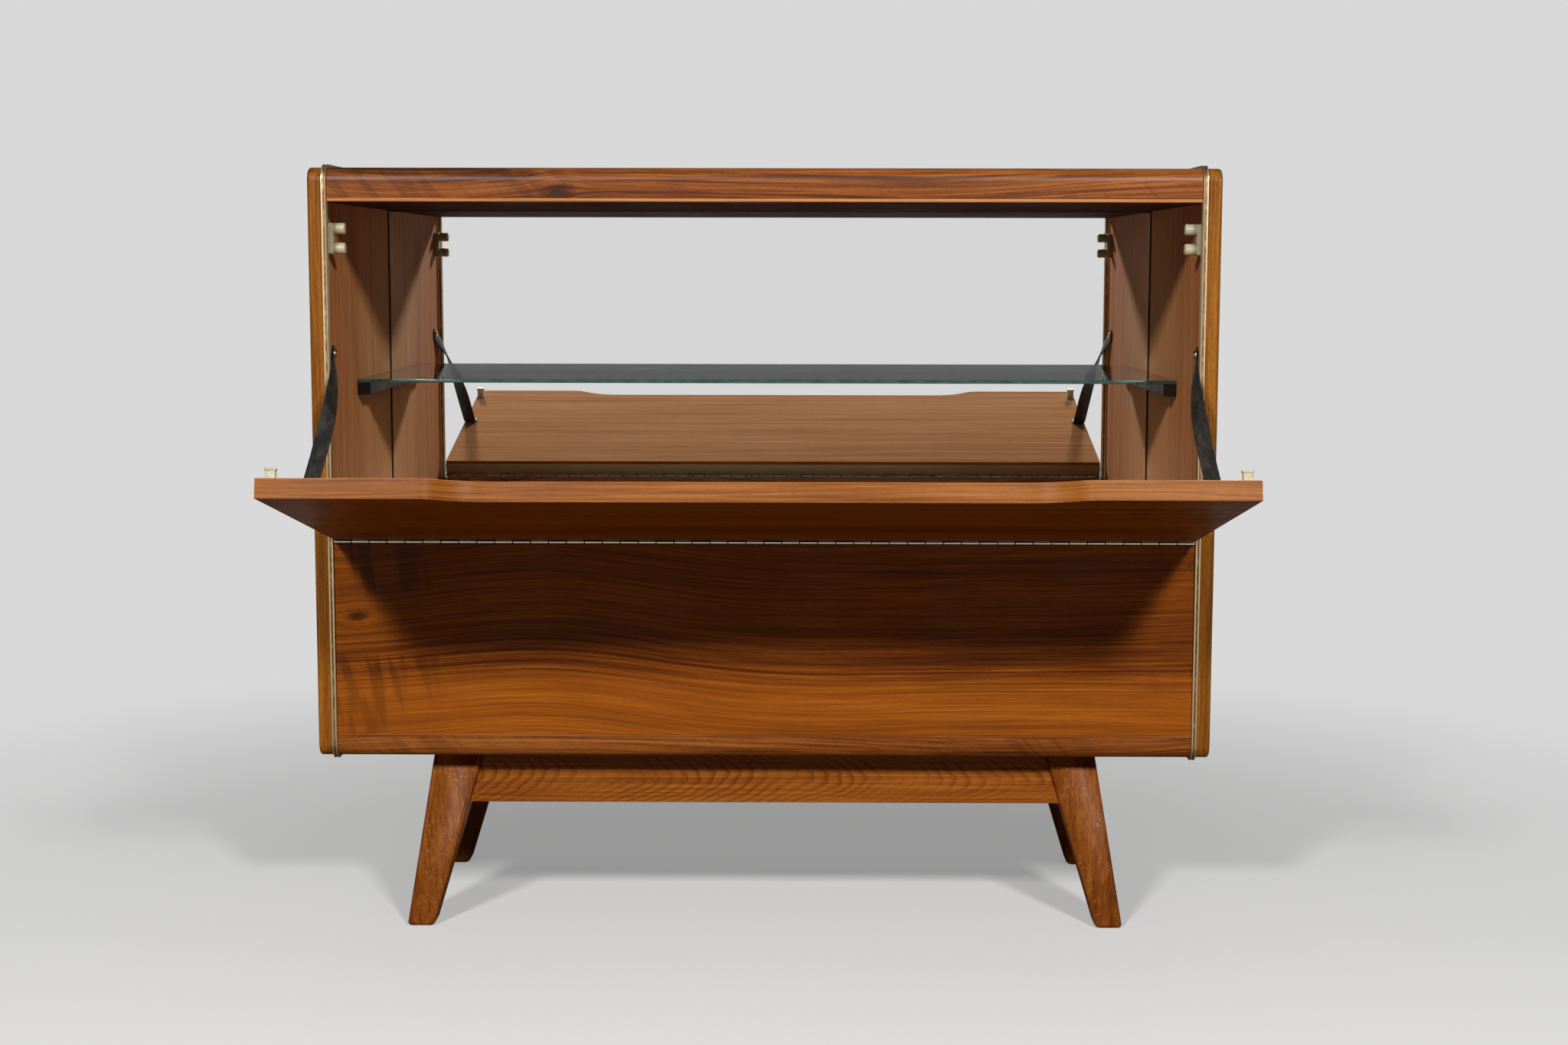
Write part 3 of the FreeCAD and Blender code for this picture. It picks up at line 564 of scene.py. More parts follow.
def trim_brass():
    """Satin brass, with tarnish and a painted reflection along the shallow channel between its two
    ridges, painted shade along its outer flanks, and tarnish spots.
    """
    tree = new_tree("trim_brass")
    low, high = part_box("trim_right")
    half = (high.x - low.x) / 2
    across = abs(tree.split(tree.place)[0])
    aside = abs(across - (INNER_FACE - half))
    patches = tree.noise(tree.place, (220.0, 90.0), 5.0, 3.0, 0.6)
    # The channel's dull colour is partly tarnish and partly a painted reflection
    painted_channel_reflection_and_tarnish = tree.ease(aside, TRIM_RIDGE + RIDGE_SOFT, TRIM_RIDGE - RIDGE_SOFT)
    # Painted shade along the bead's outer flanks, where it meets the panel
    painted_flank_shade = tree.ease(aside, FLANK_START_SHARE * half, FLANK_FULL_SHARE * half, 0.0, FLANK_SHADE_SHARE)
    tarnish_and_painted_light = painted_channel_reflection_and_tarnish * tree.ease(patches, 0.30, 0.56, 0.70, 1.0)
    spots = tree.ease(tree.noise(tree.place, (40.0, 40.0, 90.0), 8.0, 3.0), 0.5, 0.72)
    tarnish_and_painted_light = tree.most(tree.most(tarnish_and_painted_light, painted_flank_shade), spots * SPOT_SHARE)
    colour = tree.mix(tarnish_and_painted_light, RIDGE_BRASS, TARNISH_AND_PAINTED_LIGHT_BRASS)
    roughness = BRASS_ROUGH + tarnish_and_painted_light * DULL_ROUGH
    return tree.finish(colour, roughness, {"Metallic": 1.0}, patches, 0.15)


BRUSH_SCALES, BLOOM_SCALES = (30.0, 1600.0), (55.0, 170.0)
SCREW_BRASS, SCREW_DULL = (1.0, 0.80, 0.38), (0.82, 0.60, 0.24)
NAIL_STEEL, NAIL_DULL = (0.42, 0.40, 0.38), (0.22, 0.17, 0.13)


def brushed(tree):
    """Height of fine brushing along X, and where a patchy bloom lies."""
    brush = tree.noise(tree.place, BRUSH_SCALES, 1.0, 2.0)
    clouds = tree.noise(tree.place, BLOOM_SCALES, 6.0, 4.0, 0.65)
    return brush, tree.ease(clouds, 0.36, 0.66)


def metal(name, colour, dull, rough):
    tree = new_tree(name)
    brush, bloom = brushed(tree)
    roughness = rough + bloom * DULL_ROUGH
    return tree.finish(tree.mix(bloom, colour, dull), roughness, {"Metallic": 1.0}, brush)


HINGE_PAINTED_HIGHLIGHT = (0.92, 0.86, 0.75)
HINGE_TARNISH = (0.34, 0.205, 0.105)
HINGE_PAINTED_SHADE = (0.16, 0.095, 0.055)
HINGE_PAINTED_TAN_HIGHLIGHT = (0.60, 0.46, 0.32)
FLAT_START, FLAT_FULL = 0.1 * MM, 0.6 * MM
LEAF_DULL_SHARE = 0.7
SEAM_EASE = (0.455, 0.48)


def hinge_metal():
    """Nickel with painted light: knuckles with a painted highlight below their middle, a painted tan
    highlight on top and painted shade between, and painted shade in the gaps between them; tarnished
    leaves.
    """
    tree = new_tree("hinge_metal")
    x, y, z = tree.split(tree.vector("SUBTRACT", tree.place, tuple(AXIS)))
    off = tree.vector("LENGTH", tree.join(0.0, y, z))
    flat = tree.ease(off, KNUCKLE_RADIUS + FLAT_START, KNUCKLE_RADIUS + FLAT_FULL)
    brush, bloom = brushed(tree)
    rise = tree.math("MULTIPLY_ADD", z / KNUCKLE_RADIUS, 0.5, 0.5)
    # Painted light: the ramp paints a highlight, shade and a tan highlight round each knuckle
    painted_knuckle_light = tree.ramp(rise, [(0.18, HINGE_PAINTED_SHADE), (0.26, HINGE_PAINTED_HIGHLIGHT), (0.54, HINGE_PAINTED_HIGHLIGHT),
                              (0.62, HINGE_PAINTED_SHADE), (0.78, HINGE_PAINTED_SHADE), (0.86, HINGE_PAINTED_TAN_HIGHLIGHT)])
    colour = tree.mix(flat, painted_knuckle_light, HINGE_TARNISH)
    # Painted shade in the gaps between the knuckles
    phase = tree.math("FRACT", (x - PIN_LOW.x) / KNUCKLE_PITCH)
    painted_gap_shade = tree.ease(abs(phase - 0.5), *SEAM_EASE) * (1.0 - flat)
    colour = tree.mix(painted_gap_shade, colour, BACKING_AND_PAINTED_SHADE)
    roughness = NICKEL_ROUGH + tree.most(flat, bloom) * DULL_ROUGH
    metallic = 1.0 - flat * LEAF_DULL_SHARE
    return tree.finish(colour, roughness, {"Metallic": metallic}, brush)


IVORY = (0.45, 0.44, 0.32)
IVORY_AGED = (0.41, 0.36, 0.19)
IVORY_ROUGH = 0.42
IVORY_GLOW, IVORY_GLOW_SHARE, IVORY_TINT_SHARES = 12 * MM, 0.85, (1.0, 0.8, 0.45)


def ivory_plastic():
    """Aged translucent plastic, yellower in patches."""
    tree = new_tree("ivory_plastic")
    clouds = tree.noise(tree.place, (120.0,), 4.0, 4.0, 0.6)
    colour = tree.mix(tree.ease(clouds, 0.4, 0.68), IVORY, IVORY_AGED)
    grit = tree.noise(tree.place, (2200.0,), 2.0, 2.0)
    return tree.finish(colour, IVORY_ROUGH, {
        "Subsurface Weight": IVORY_GLOW_SHARE, "Subsurface Radius": IVORY_TINT_SHARES,
        "Subsurface Scale": IVORY_GLOW}, grit, 0.12)


STRAP_DARK = (0.015, 0.013, 0.011)
STRAP_WORN = (0.045, 0.039, 0.033)
RIB_PITCH, RIB_RISE = 1.1 * MM, 0.25


def strap_band():
    """Black coated band with fine cross ribs, greyer where it rubs."""
    tree = new_tree("strap_band")
    _, y, z = tree.split(tree.place)
    rub = tree.noise(tree.place, (90.0, 40.0), 3.0, 4.0, 0.7)
    colour = tree.mix(tree.ease(rub, 0.42, 0.7), STRAP_DARK, STRAP_WORN)
    ribs = tree.math("SINE", (y + z) * (2 * pi / RIB_PITCH))
    grit = tree.noise(tree.place, (1500.0,), 2.0, 2.0)
    height = ribs * RIB_RISE + grit
    return tree.finish(colour, 0.5, {"Specular IOR Level": 0.3}, height, 0.15)


# Stage: a pale floor that runs into a pale surround
SURROUND, UPPER_ROOM = (0.69,) * 3, (0.09,) * 3
UPPER_ROOM_START, UPPER_ROOM_END = sin(radians(1.9)), sin(radians(2.5))
AMBIENT = 0.015
AMBIENT_BACK = 0.20
FLOOR_TONE = (0.93, 0.925, 0.915)
FLOOR_BOUNCE = (0.20, 0.155, 0.105)
FLOOR_HALF = 14.0
FLOOR_GLOW = 0.4
FLOOR_FADE_START, FLOOR_FADE_END = 0.6, 1.9


def ray_kinds(tree):
    """Whether a ray is a glossy one, and whether it comes straight from the eye or through glass."""
    path = tree.add("LightPath").outputs
    direct = tree.most(path["Is Camera Ray"], path["Is Transmission Ray"])
    return path["Is Glossy Ray"], direct


def make_world():
    world = bpy.data.worlds.new("surround")
    scene.world = world
    tree = Tree(world)
    glossy, direct = ray_kinds(tree)
    _, back, up = tree.split(tree.direction)
    upper = tree.ease(up, UPPER_ROOM_START, UPPER_ROOM_END)
    room = tree.mix(upper, SURROUND, UPPER_ROOM)
    soft = tree.ease(back, 0.0, 0.7, AMBIENT, AMBIENT_BACK)
    light = tree.mix(glossy, soft, room)
    light = tree.mix(direct, light, SURROUND)
    background = tree.add("Background", {"Color": light, "Strength": 1.0})
    tree.add("OutputWorld", {"Surface": background.outputs[0]})


def make_floor():
    mesh = bpy.data.meshes.new("floor")
    half = FLOOR_HALF
    mesh.from_pydata([(-half, -half, 0), (half, -half, 0), (half, half, 0), (-half, half, 0)], [],
                     [(0, 1, 2, 3)])
    floor = link_object("floor", mesh)
    tree = new_tree("pale_floor")
    reach = tree.vector("LENGTH", tree.place)
    glossy, direct = ray_kinds(tree)
    lit = tree.add("BsdfDiffuse", {"Color": FLOOR_TONE})
    glow = tree.add("Emission", {"Color": SURROUND, "Strength": 1.0})
    bounce = tree.add("BsdfDiffuse", {"Color": FLOOR_BOUNCE})
    shown = tree.add("MixShader", {
        0: tree.ease(reach, FLOOR_FADE_START, FLOOR_FADE_END, FLOOR_GLOW, 1.0),
        1: lit.outputs[0], 2: glow.outputs[0]})
    far = tree.ease(reach, FLOOR_FADE_START, FLOOR_FADE_END) * glossy
    gloss = tree.add("MixShader", {0: far, 1: bounce.outputs[0], 2: glow.outputs[0]})
    both = tree.add("MixShader", {0: direct, 1: gloss.outputs[0], 2: shown.outputs[0]})
    tree.add("OutputMaterial", {"Surface": both.outputs[0]})
    floor.data.materials.append(tree.owner)


LAMP_AIM = Vector((0.0, -0.1, 0.46))
KEY_ASIDE, KEY_FRONT, KEY_HEIGHT = 1.12, -3.15, 2.26
KEY_SIZE = 0.36
KEY_POWER = 88.0
TOP_PLACE = Vector((0.0, -0.6, 3.4))
TOP_SIZE = 2.4
TOP_POWER = 7.0


def soft_lamp(name, place, extent, power):
    data = bpy.data.lights.new(name, "AREA")
    data.shape = "SQUARE"
    data.size = extent
    data.energy = power
    lamp = link_object(name, data)
    lamp.location = place
    lamp.rotation_euler = (LAMP_AIM - place).to_track_quat("-Z", "Y").to_euler()


def make_lamps():
    for side, sign in SIDES.items():
        soft_lamp("key_" + side, Vector((sign * KEY_ASIDE, KEY_FRONT, KEY_HEIGHT)), KEY_SIZE,
                  KEY_POWER)
    soft_lamp("overhead", TOP_PLACE, TOP_SIZE, TOP_POWER)


# Mesh building
SHARP_ANGLE = radians(38)


def add_piece(name, mesh, material, body=None, stands_for=(), shade=True):
    """Link a mesh that is already in its place, finish it and let it ride."""
    piece = link_object(name, mesh)
    mesh.materials.clear()
    mesh.materials.append(material)
    if shade:
        mesh.shade_smooth()
        mesh.set_sharp_from_angle(angle=SHARP_ANGLE)
    if body:
        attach(piece, body)
    if stands_for:
        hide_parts(*stands_for)
    return piece


def to_mesh(shape, name):
    bmesh.ops.recalc_face_normals(shape, faces=shape.faces)
    mesh = bpy.data.meshes.new(name)
    shape.to_mesh(mesh)
    shape.free()
    return mesh


def rounded_box(shape, low, high, radius, segments=2):
    """Add a box with all its edges rounded."""
    cube = bmesh.ops.create_cube(shape, size=1.0)
    low, high = Vector(low), Vector(high)
    for vertex in cube["verts"]:
        vertex.co = Vector(low[i] + (vertex.co[i] + 0.5) * (high[i] - low[i]) for i in range(3))
    rims = {edge for vertex in cube["verts"] for edge in vertex.link_edges}
    bmesh.ops.bevel(shape, geom=list(rims), offset=radius, segments=segments, profile=0.5,
                    affect="EDGES")


def skin(shape, rings):
    """Faces between rings of vertices, where the first and the last can be a single one."""
    for lower, upper in zip(rings, rings[1:]):
        count = max(len(lower), len(upper))
        for index in range(count):
            after = (index + 1) % count
            if len(lower) == 1:
                shape.faces.new((lower[0], upper[index], upper[after]))
            elif len(upper) == 1:
                shape.faces.new((lower[index], lower[after], upper[0]))
            else:
                shape.faces.new((lower[index], lower[after], upper[after], upper[index]))


def both_ends(start, length):
    """Profile of a turned piece whose far end mirrors its start."""
    return start + [(length - along, radius) for along, radius in reversed(start)]


def lathe(shape, profile, place, segments=24):
    """Add a turned solid. profile is (along, radius) pairs from pole to pole; place is a matrix
    that turns and moves it from the Z axis."""
    rings = []
    for along, radius in profile:
        if radius == 0:
            rings.append([shape.verts.new(place @ Vector((0, 0, along)))])
            continue
        turns = [2 * pi * index / segments for index in range(segments)]
        rings.append([shape.verts.new(place @ Vector((radius * cos(turn), radius * sin(turn),
                                                      along))) for turn in turns])
    skin(shape, rings)


def sweep(shape, rings):
    """Add a closed solid through rings of points, with a face over each end."""
    rows = [[shape.verts.new(point) for point in ring] for ring in rings]
    skin(shape, rows)
    shape.faces.new(rows[0][::-1])
    shape.faces.new(rows[-1])


def evaluated(piece, name):
    """Mesh of an object with its modifiers applied; the object is removed."""
    graph = bpy.context.evaluated_depsgraph_get()
    mesh = bpy.data.meshes.new_from_object(piece.evaluated_get(graph))
    mesh.name = name
    bpy.data.objects.remove(piece)
    return mesh


WELD_REACH = 0.005 * MM
FLAT_ANGLE = radians(1.5)
ARRIS_ANGLE = radians(32)
EVEN_WEIGHT = 80
FACING = 0.98
FLAP_ARRIS, PANEL_ARRIS, CEILING_ARRIS, FLOOR_ARRIS = 0.6 * MM, 0.5 * MM, 0.4 * MM, 0.3 * MM
BOARD_ARRIS, LEG_ARRIS = 0.8 * MM, 1.1 * MM
SOLE_RADIUS, SOLE_BEVEL = 5 * MM, 2 * MM
SOLE_LEVELS = (1 * MM, 2 * MM, 3 * MM, 4.2 * MM)


def round_sole(shape):
    """Draw the bevelled foot of a leg in to a quarter round."""
    for level in SOLE_LEVELS:
        parts = shape.verts[:] + shape.edges[:] + shape.faces[:]
        bmesh.ops.bisect_plane(shape, geom=parts, plane_co=(0, 0, level), plane_no=(0, 0, 1))
    rim = [vertex.co for vertex in shape.verts if vertex.co.z < SOLE_LEVELS[0] / 2]
    low = Vector(min(point[i] for point in rim) for i in range(3))
    high = Vector(max(point[i] for point in rim) for i in range(3))
    middle, half = (low + high) / 2, (high - low) / 2
    for vertex in shape.verts:
        level = max(vertex.co.z, 0.0)
        if level < SOLE_RADIUS:
            round_inset = SOLE_RADIUS - sqrt(SOLE_RADIUS ** 2 - (SOLE_RADIUS - level) ** 2)
            inset = max(round_inset - max(SOLE_BEVEL - level, 0.0), 0.0)
            for i in range(2):
                vertex.co[i] -= (vertex.co[i] - middle[i]) / half[i] * inset


def softened(node, material, slot, radius, body="cabinet", others=()):
    """Copy of a board or a leg whose sharp corners are rounded off, so that they catch the light.

    others are finishes of single faces, each with the direction of its face."""
    source = frame["nodes"][node]
    shape = bmesh.new()
    shape.from_mesh(source.data)
    shape.transform(source.matrix_world)
    bmesh.ops.remove_doubles(shape, verts=shape.verts, dist=WELD_REACH)
    bmesh.ops.dissolve_limit(shape, angle_limit=FLAT_ANGLE, verts=shape.verts, edges=shape.edges)
    if slot == "leg_wood":
        round_sole(shape)
    sharp = [edge for edge in shape.edges
             if edge.is_manifold and edge.calc_face_angle() > ARRIS_ANGLE]
    bmesh.ops.bevel(shape, geom=sharp, offset=radius, segments=2, profile=0.5, affect="EDGES",
                    clamp_overlap=True)
    mesh = to_mesh(shape, node + "_soft")
    mesh.shade_smooth()
    helper = link_object("helper", mesh)
    even = helper.modifiers.new("even", "WEIGHTED_NORMAL")
    even.weight = EVEN_WEIGHT
    piece = add_piece(node + "_softened", evaluated(helper, node + "_soft"), material, body,
                      (node,), shade=False)
    for index, (other, direction) in enumerate(others, 1):
        piece.data.materials.append(other)
        for face in piece.data.polygons:
            if face.normal.dot(direction) > FACING:
                face.material_index = index


def turned_to(direction, place):
    """Matrix that takes the Z axis to a direction and the origin to a place."""
    return Matrix.Translation(place) @ Vector(direction).to_track_quat("Z", "Y").to_matrix().to_4x4()


# Slotted screws
DOME_RADIUS, DOME_HEIGHT, DOME_RIM = 4.7 * MM, 3.7 * MM, 0.6 * MM
SHANK_RADIUS, SHANK_LENGTH = 1.5 * MM, 11.8 * MM
SLOT_WIDTH, SLOT_DEPTH = 1.0 * MM, 1.2 * MM
RIM_INSET_SHARE, RIM_RISE_SHARE = 0.25, 0.3
DOME_STEPS, DOME_SIDES = 10, 32
STAY_TURNS = {("stay", "left"): 1.1, ("stay", "right"): 0.5, ("anchor", "left"): 0.3,
              ("anchor", "right"): 2.2}


def slotted_screw(radius, height, rim, shank_radius, shank_length, slot_angle):
    """Dome screw that stands along Z with the underside of its head at zero."""
    shape = bmesh.new()
    turns = [pi / 2 * step / DOME_STEPS for step in range(DOME_STEPS)]
    dome = [(rim + (height - rim) * sin(turn), radius * cos(turn)) for turn in turns]
    shank = [(-shank_length, 0.0), (-shank_length, shank_radius), (0.0, shank_radius)]
    edge = [(0.0, radius - RIM_INSET_SHARE * rim), (RIM_RISE_SHARE * rim, radius)]
    lathe(shape, shank + edge + dome + [(height, 0.0)], Matrix.Identity(4), DOME_SIDES)
    head = link_object("helper", to_mesh(shape, "screw"))
    cutter_shape = bmesh.new()
    bmesh.ops.create_cube(cutter_shape, size=1.0, matrix=(
        Matrix.Rotation(slot_angle, 4, "Z") @ Matrix.Translation((0, 0, height))
        @ Matrix.Diagonal((3 * radius, SLOT_WIDTH * radius / DOME_RADIUS, 2 * SLOT_DEPTH, 1))))
    cutter = link_object("helper", to_mesh(cutter_shape, "slot"))
    cut = head.modifiers.new("slot", "BOOLEAN")
    cut.operation = "DIFFERENCE"
    cut.object = cutter
    mesh = evaluated(head, "screw")
    bpy.data.objects.remove(cutter)
    return mesh


def stay_screws(brass):
    """The four dome screws of the straps, each turned its own way."""
    for (kind, side), turn in STAY_TURNS.items():
        node = "%s_screw_%s" % (kind, side)
        sign = SIDES[side]
        mesh = slotted_screw(DOME_RADIUS, DOME_HEIGHT, DOME_RIM, SHANK_RADIUS, SHANK_LENGTH, turn)
        if kind == "stay":
            under_head = sign * (INNER_FACE - STRAP_THICKNESS)
            place = turned_to((-sign, 0, 0), (under_head, *middle_of(node).yz))
        else:
            foot = Vector((sign * STRAP_FOOT_ACROSS, FLAP_INNER_DEPTH + STRAP_THICKNESS,
                           STRAP_REACH + STRAP_FOOT / 2 + KNUCKLE_RADIUS))
            place = SHUT_TO_OPEN @ turned_to((0, 1, 0), foot)
        mesh.transform(place)
        add_piece("%s_screw_dome_%s" % (kind, side), mesh, brass,
                  "cabinet" if kind == "stay" else "flap", (node,))


# Piano hinge, laid out about its axis with the flap shut
KNUCKLE_RADIUS = 2.5 * MM
KNUCKLE_PAIRS = 24
HINGE_LENGTH = PIN_HIGH.x - PIN_LOW.x
KNUCKLE_PITCH = HINGE_LENGTH / (2 * KNUCKLE_PAIRS)
KNUCKLE_GAP = 0.4 * MM
LEAF_THICKNESS, LEAF_WIDTH = 1.0 * MM, 16 * MM
LEAF_CLEARANCE, LEAF_ARRIS = 0.15 * MM, 0.18 * MM
ROLL_OVERLAP, ROLL_ARRIS = 0.4 * MM, 0.1 * MM
KNUCKLE_CHAMFER, PIN_TIP = 0.35 * MM, 0.3 * MM
PIN_RADIUS = 1.2 * MM
HINGE_SCREWS = 12
HINGE_SCREW_PITCH = 76.9 * MM
HINGE_SCREW_START = -407.3 * MM
HINGE_SCREW_RADIUS = 2.7 * MM
HINGE_SCREW_PROUD = 0.35 * MM
HINGE_SCREW_RIM, HINGE_SCREW_SHANK = 0.1 * MM, 0.8 * MM
HINGE_SCREW_TURN = 1.9
HINGE_SCREW_SHARE = 0.6
KNUCKLE_SIDES, PIN_SIDES = 20, 16
HINGE_SIDES = {"cabinet": "fixed", "flap": "flap"}
ALONG_X = Matrix.Rotation(pi / 2, 4, "Y")


def hinge_leaf(body, level, first, place, nickel):
    """One leaf: a thin strip with every second knuckle, level 1 above the axis and -1 below it."""
    shape = bmesh.new()
    half = HINGE_LENGTH / 2
    floor_level, top_level = sorted((level * (KNUCKLE_RADIUS - LEAF_THICKNESS), level * KNUCKLE_RADIUS))
    rounded_box(shape, (-half, KNUCKLE_RADIUS + LEAF_CLEARANCE, floor_level),
                (half, LEAF_WIDTH, top_level), LEAF_ARRIS)
    knuckle, chamfer = KNUCKLE_PITCH - KNUCKLE_GAP, KNUCKLE_CHAMFER
    profile = both_ends([(0, 0), (0, KNUCKLE_RADIUS - chamfer),
                         (chamfer / 3, KNUCKLE_RADIUS - chamfer / 3), (chamfer, KNUCKLE_RADIUS)],
                        knuckle)
    for pair in range(KNUCKLE_PAIRS):
        start = (2 * pair + first) * KNUCKLE_PITCH - half + KNUCKLE_GAP / 2
        lathe(shape, profile, Matrix.Translation((start, 0, 0)) @ ALONG_X, KNUCKLE_SIDES)
        rounded_box(shape, (start, 0, floor_level),
                    (start + knuckle, KNUCKLE_RADIUS + ROLL_OVERLAP, top_level), ROLL_ARRIS, 1)
    mesh = to_mesh(shape, "hinge")
    mesh.transform(place)
    side = HINGE_SIDES[body]
    add_piece("hinge_rolled_leaf_" + side, mesh, nickel, body,
              ("hinge_leaf_" + side,))


def hinge_screws(body, level, place, nickel):
    """Row of small slotted screws in the leaf's open face."""
    head = slotted_screw(HINGE_SCREW_RADIUS, HINGE_SCREW_PROUD, HINGE_SCREW_RIM, HINGE_SCREW_SHANK,
                         HINGE_SCREW_SHANK, 0.0)
    shape = bmesh.new()
    face = (KNUCKLE_RADIUS - LEAF_THICKNESS) * level
    for index in range(HINGE_SCREWS):
        across = HINGE_SCREW_START + index * HINGE_SCREW_PITCH
        spun = Matrix.Rotation(HINGE_SCREW_TURN * index * index, 4, "Z")
        copy = head.copy()
        seat = (across, HINGE_SCREW_SHARE * LEAF_WIDTH, face)
        copy.transform(place @ turned_to((0, 0, -level), seat) @ spun)
        shape.from_mesh(copy)
    mesh = to_mesh(shape, "hinge_screws")
    add_piece("hinge_screws_" + HINGE_SIDES[body], mesh, nickel, body)


def hinge_pin(nickel):
    shape = bmesh.new()
    start = [(0, 0), (0, PIN_RADIUS - PIN_TIP), (PIN_TIP, PIN_RADIUS)]
    lathe(shape, both_ends(start, HINGE_LENGTH),
          Matrix.Translation((PIN_LOW.x, AXIS.y, AXIS.z)) @ ALONG_X, PIN_SIDES)
    add_piece("hinge_round_pin", to_mesh(shape, "pin"), nickel, "cabinet",
              ("hinge_pin",))


# Trim bead: a channel between two ridges, swept round the front of the case
TRIM_CORNER = 17.5 * MM
TRIM_DEPTH = 8 * MM
TRIM_CORNER_STEPS = 12
# Across the bead from its middle and down from its crown, as shares of its half width
TRIM_PROFILE_SHARES = ((1.0, 0.62), (0.97, 0.36), (0.88, 0.13), (0.74, 0.02), (0.6, 0.03), (0.47, 0.12),
                       (0.34, 0.20), (0.17, 0.235), (0.0, 0.245))


def trim_path():
    """Points and outward directions round the bead's crown, in Y and Z, from the top back."""
    low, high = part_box("trim_left")
    route = [((high.y, high.z), (0.0, 1.0))]
    for centre_z, start in ((high.z - TRIM_CORNER, pi / 2), (low.z + TRIM_CORNER, pi)):
        for step in range(TRIM_CORNER_STEPS + 1):
            turn = start + pi / 2 * step / TRIM_CORNER_STEPS
            out = (cos(turn), sin(turn))
            route.append(((low.y + TRIM_CORNER * (1 + out[0]), centre_z + TRIM_CORNER * out[1]), out))
    route.append(((high.y, low.z), (0.0, -1.0)))
    return route


def trim_beads(brass):
    for side in SIDES:
        low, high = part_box("trim_" + side)
        middle, half = (low.x + high.x) / 2, (high.x - low.x) / 2
        crown = [(across * half, -down * half) for across, down in TRIM_PROFILE_SHARES]
        profile = ([(half, -TRIM_DEPTH)] + crown + [(-across, down) for across, down in crown[-2::-1]]
                   + [(-half, -TRIM_DEPTH)])
        rings = [[(middle + across, y + down * out_y, z + down * out_z) for across, down in profile]
                 for (y, z), (out_y, out_z) in trim_path()]
        shape = bmesh.new()
        sweep(shape, rings)
        add_piece("trim_bead_" + side, to_mesh(shape, "trim"), brass, "cabinet",
                  ("trim_" + side,))


# Catches and strikers, moulded in one piece each
CATCH_BASE_LENGTH, CATCH_BASE_WIDTH = 7 * MM, 13 * MM
CATCH_REACH = 19.7 * MM
PRONG_RADIUS = 6 * MM
PRONG_TIP = 1.6 * MM
CATCH_ARRIS, STRIKER_ARRIS = 1.2 * MM, 0.8 * MM
MOULD_VOXEL, MOULD_SMOOTHING = 0.4 * MM, 4
PRONG_SIDES, TIP_STEPS = 40, 5


def moulded(shape, name):
    """Fuse overlapping solids into one soft-edged mesh."""
    piece = link_object("helper", to_mesh(shape, name))
    fuse = piece.modifiers.new("fuse", "REMESH")
    fuse.mode = "VOXEL"
    fuse.voxel_size = MOULD_VOXEL
    relax = piece.modifiers.new("relax", "SMOOTH")
    relax.iterations = MOULD_SMOOTHING
    return evaluated(piece, name)


def catches(plastic):
    for side, sign in SIDES.items():
        low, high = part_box("catch_" + side)
        middle_y = (low.y + high.y) / 2
        face = sign * INNER_FACE
        shape = bmesh.new()
        base_end = face - sign * CATCH_BASE_LENGTH
        rounded_box(shape, (min(face, base_end), middle_y - CATCH_BASE_WIDTH / 2, low.z),
                    (max(face, base_end), middle_y + CATCH_BASE_WIDTH / 2, high.z), CATCH_ARRIS, 3)
        for centre in (low.z + PRONG_RADIUS, high.z - PRONG_RADIUS):
            tip = [(CATCH_REACH - PRONG_TIP * (1 - sin(turn)),
                    PRONG_RADIUS - PRONG_TIP * (1 - cos(turn)))
                   for turn in (pi / 2 * step / TIP_STEPS for step in range(TIP_STEPS + 1))]
            lathe(shape, [(0, 0), (0, PRONG_RADIUS)] + tip + [(CATCH_REACH, 0)],
                  turned_to((-sign, 0, 0), (face, middle_y, centre)), PRONG_SIDES)
        add_piece("catch_moulding_" + side, moulded(shape, "catch"), plastic,
                  "cabinet", ("catch_" + side,))


STRIKER_THICKNESS, STRIKER_HEIGHT = 7.6 * MM, 14.5 * MM
STRIKER_LIP = 2.6 * MM
STRIKER_WAIST = 0.7 * MM


def strikers(plastic):
    """Blocks with a slightly drawn-in waist under a rounded lip."""
    for side in SIDES:
        low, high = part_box("striker_" + side)
        shape = bmesh.new()
        middle = middle_of("catch_" + side).z - AXIS.z
        for start, end, inset in ((0, STRIKER_HEIGHT - STRIKER_LIP / 2, STRIKER_WAIST),
                                  (STRIKER_HEIGHT - STRIKER_LIP, STRIKER_HEIGHT, 0.0),
                                  (0, STRIKER_LIP, 0.0)):
            rounded_box(shape, (low.x + inset, FLAP_INNER_DEPTH + start,
                                middle - STRIKER_THICKNESS / 2 + inset),
                        (high.x - inset, FLAP_INNER_DEPTH + end,
                         middle + STRIKER_THICKNESS / 2 - inset), STRIKER_ARRIS, 3)
        mesh = moulded(shape, "striker")
        mesh.transform(SHUT_TO_OPEN)
        add_piece("striker_moulding_" + side, mesh, plastic, "flap",
                  ("striker_" + side,))


# Straps: flat bands that twist from the side panel to the flap
STRAP_WIDTH, STRAP_THICKNESS = 17 * MM, 1.6 * MM
STRAP_REACH, STRAP_FOOT = 183 * MM, 22 * MM
STRAP_FOOT_ACROSS = 454 * MM
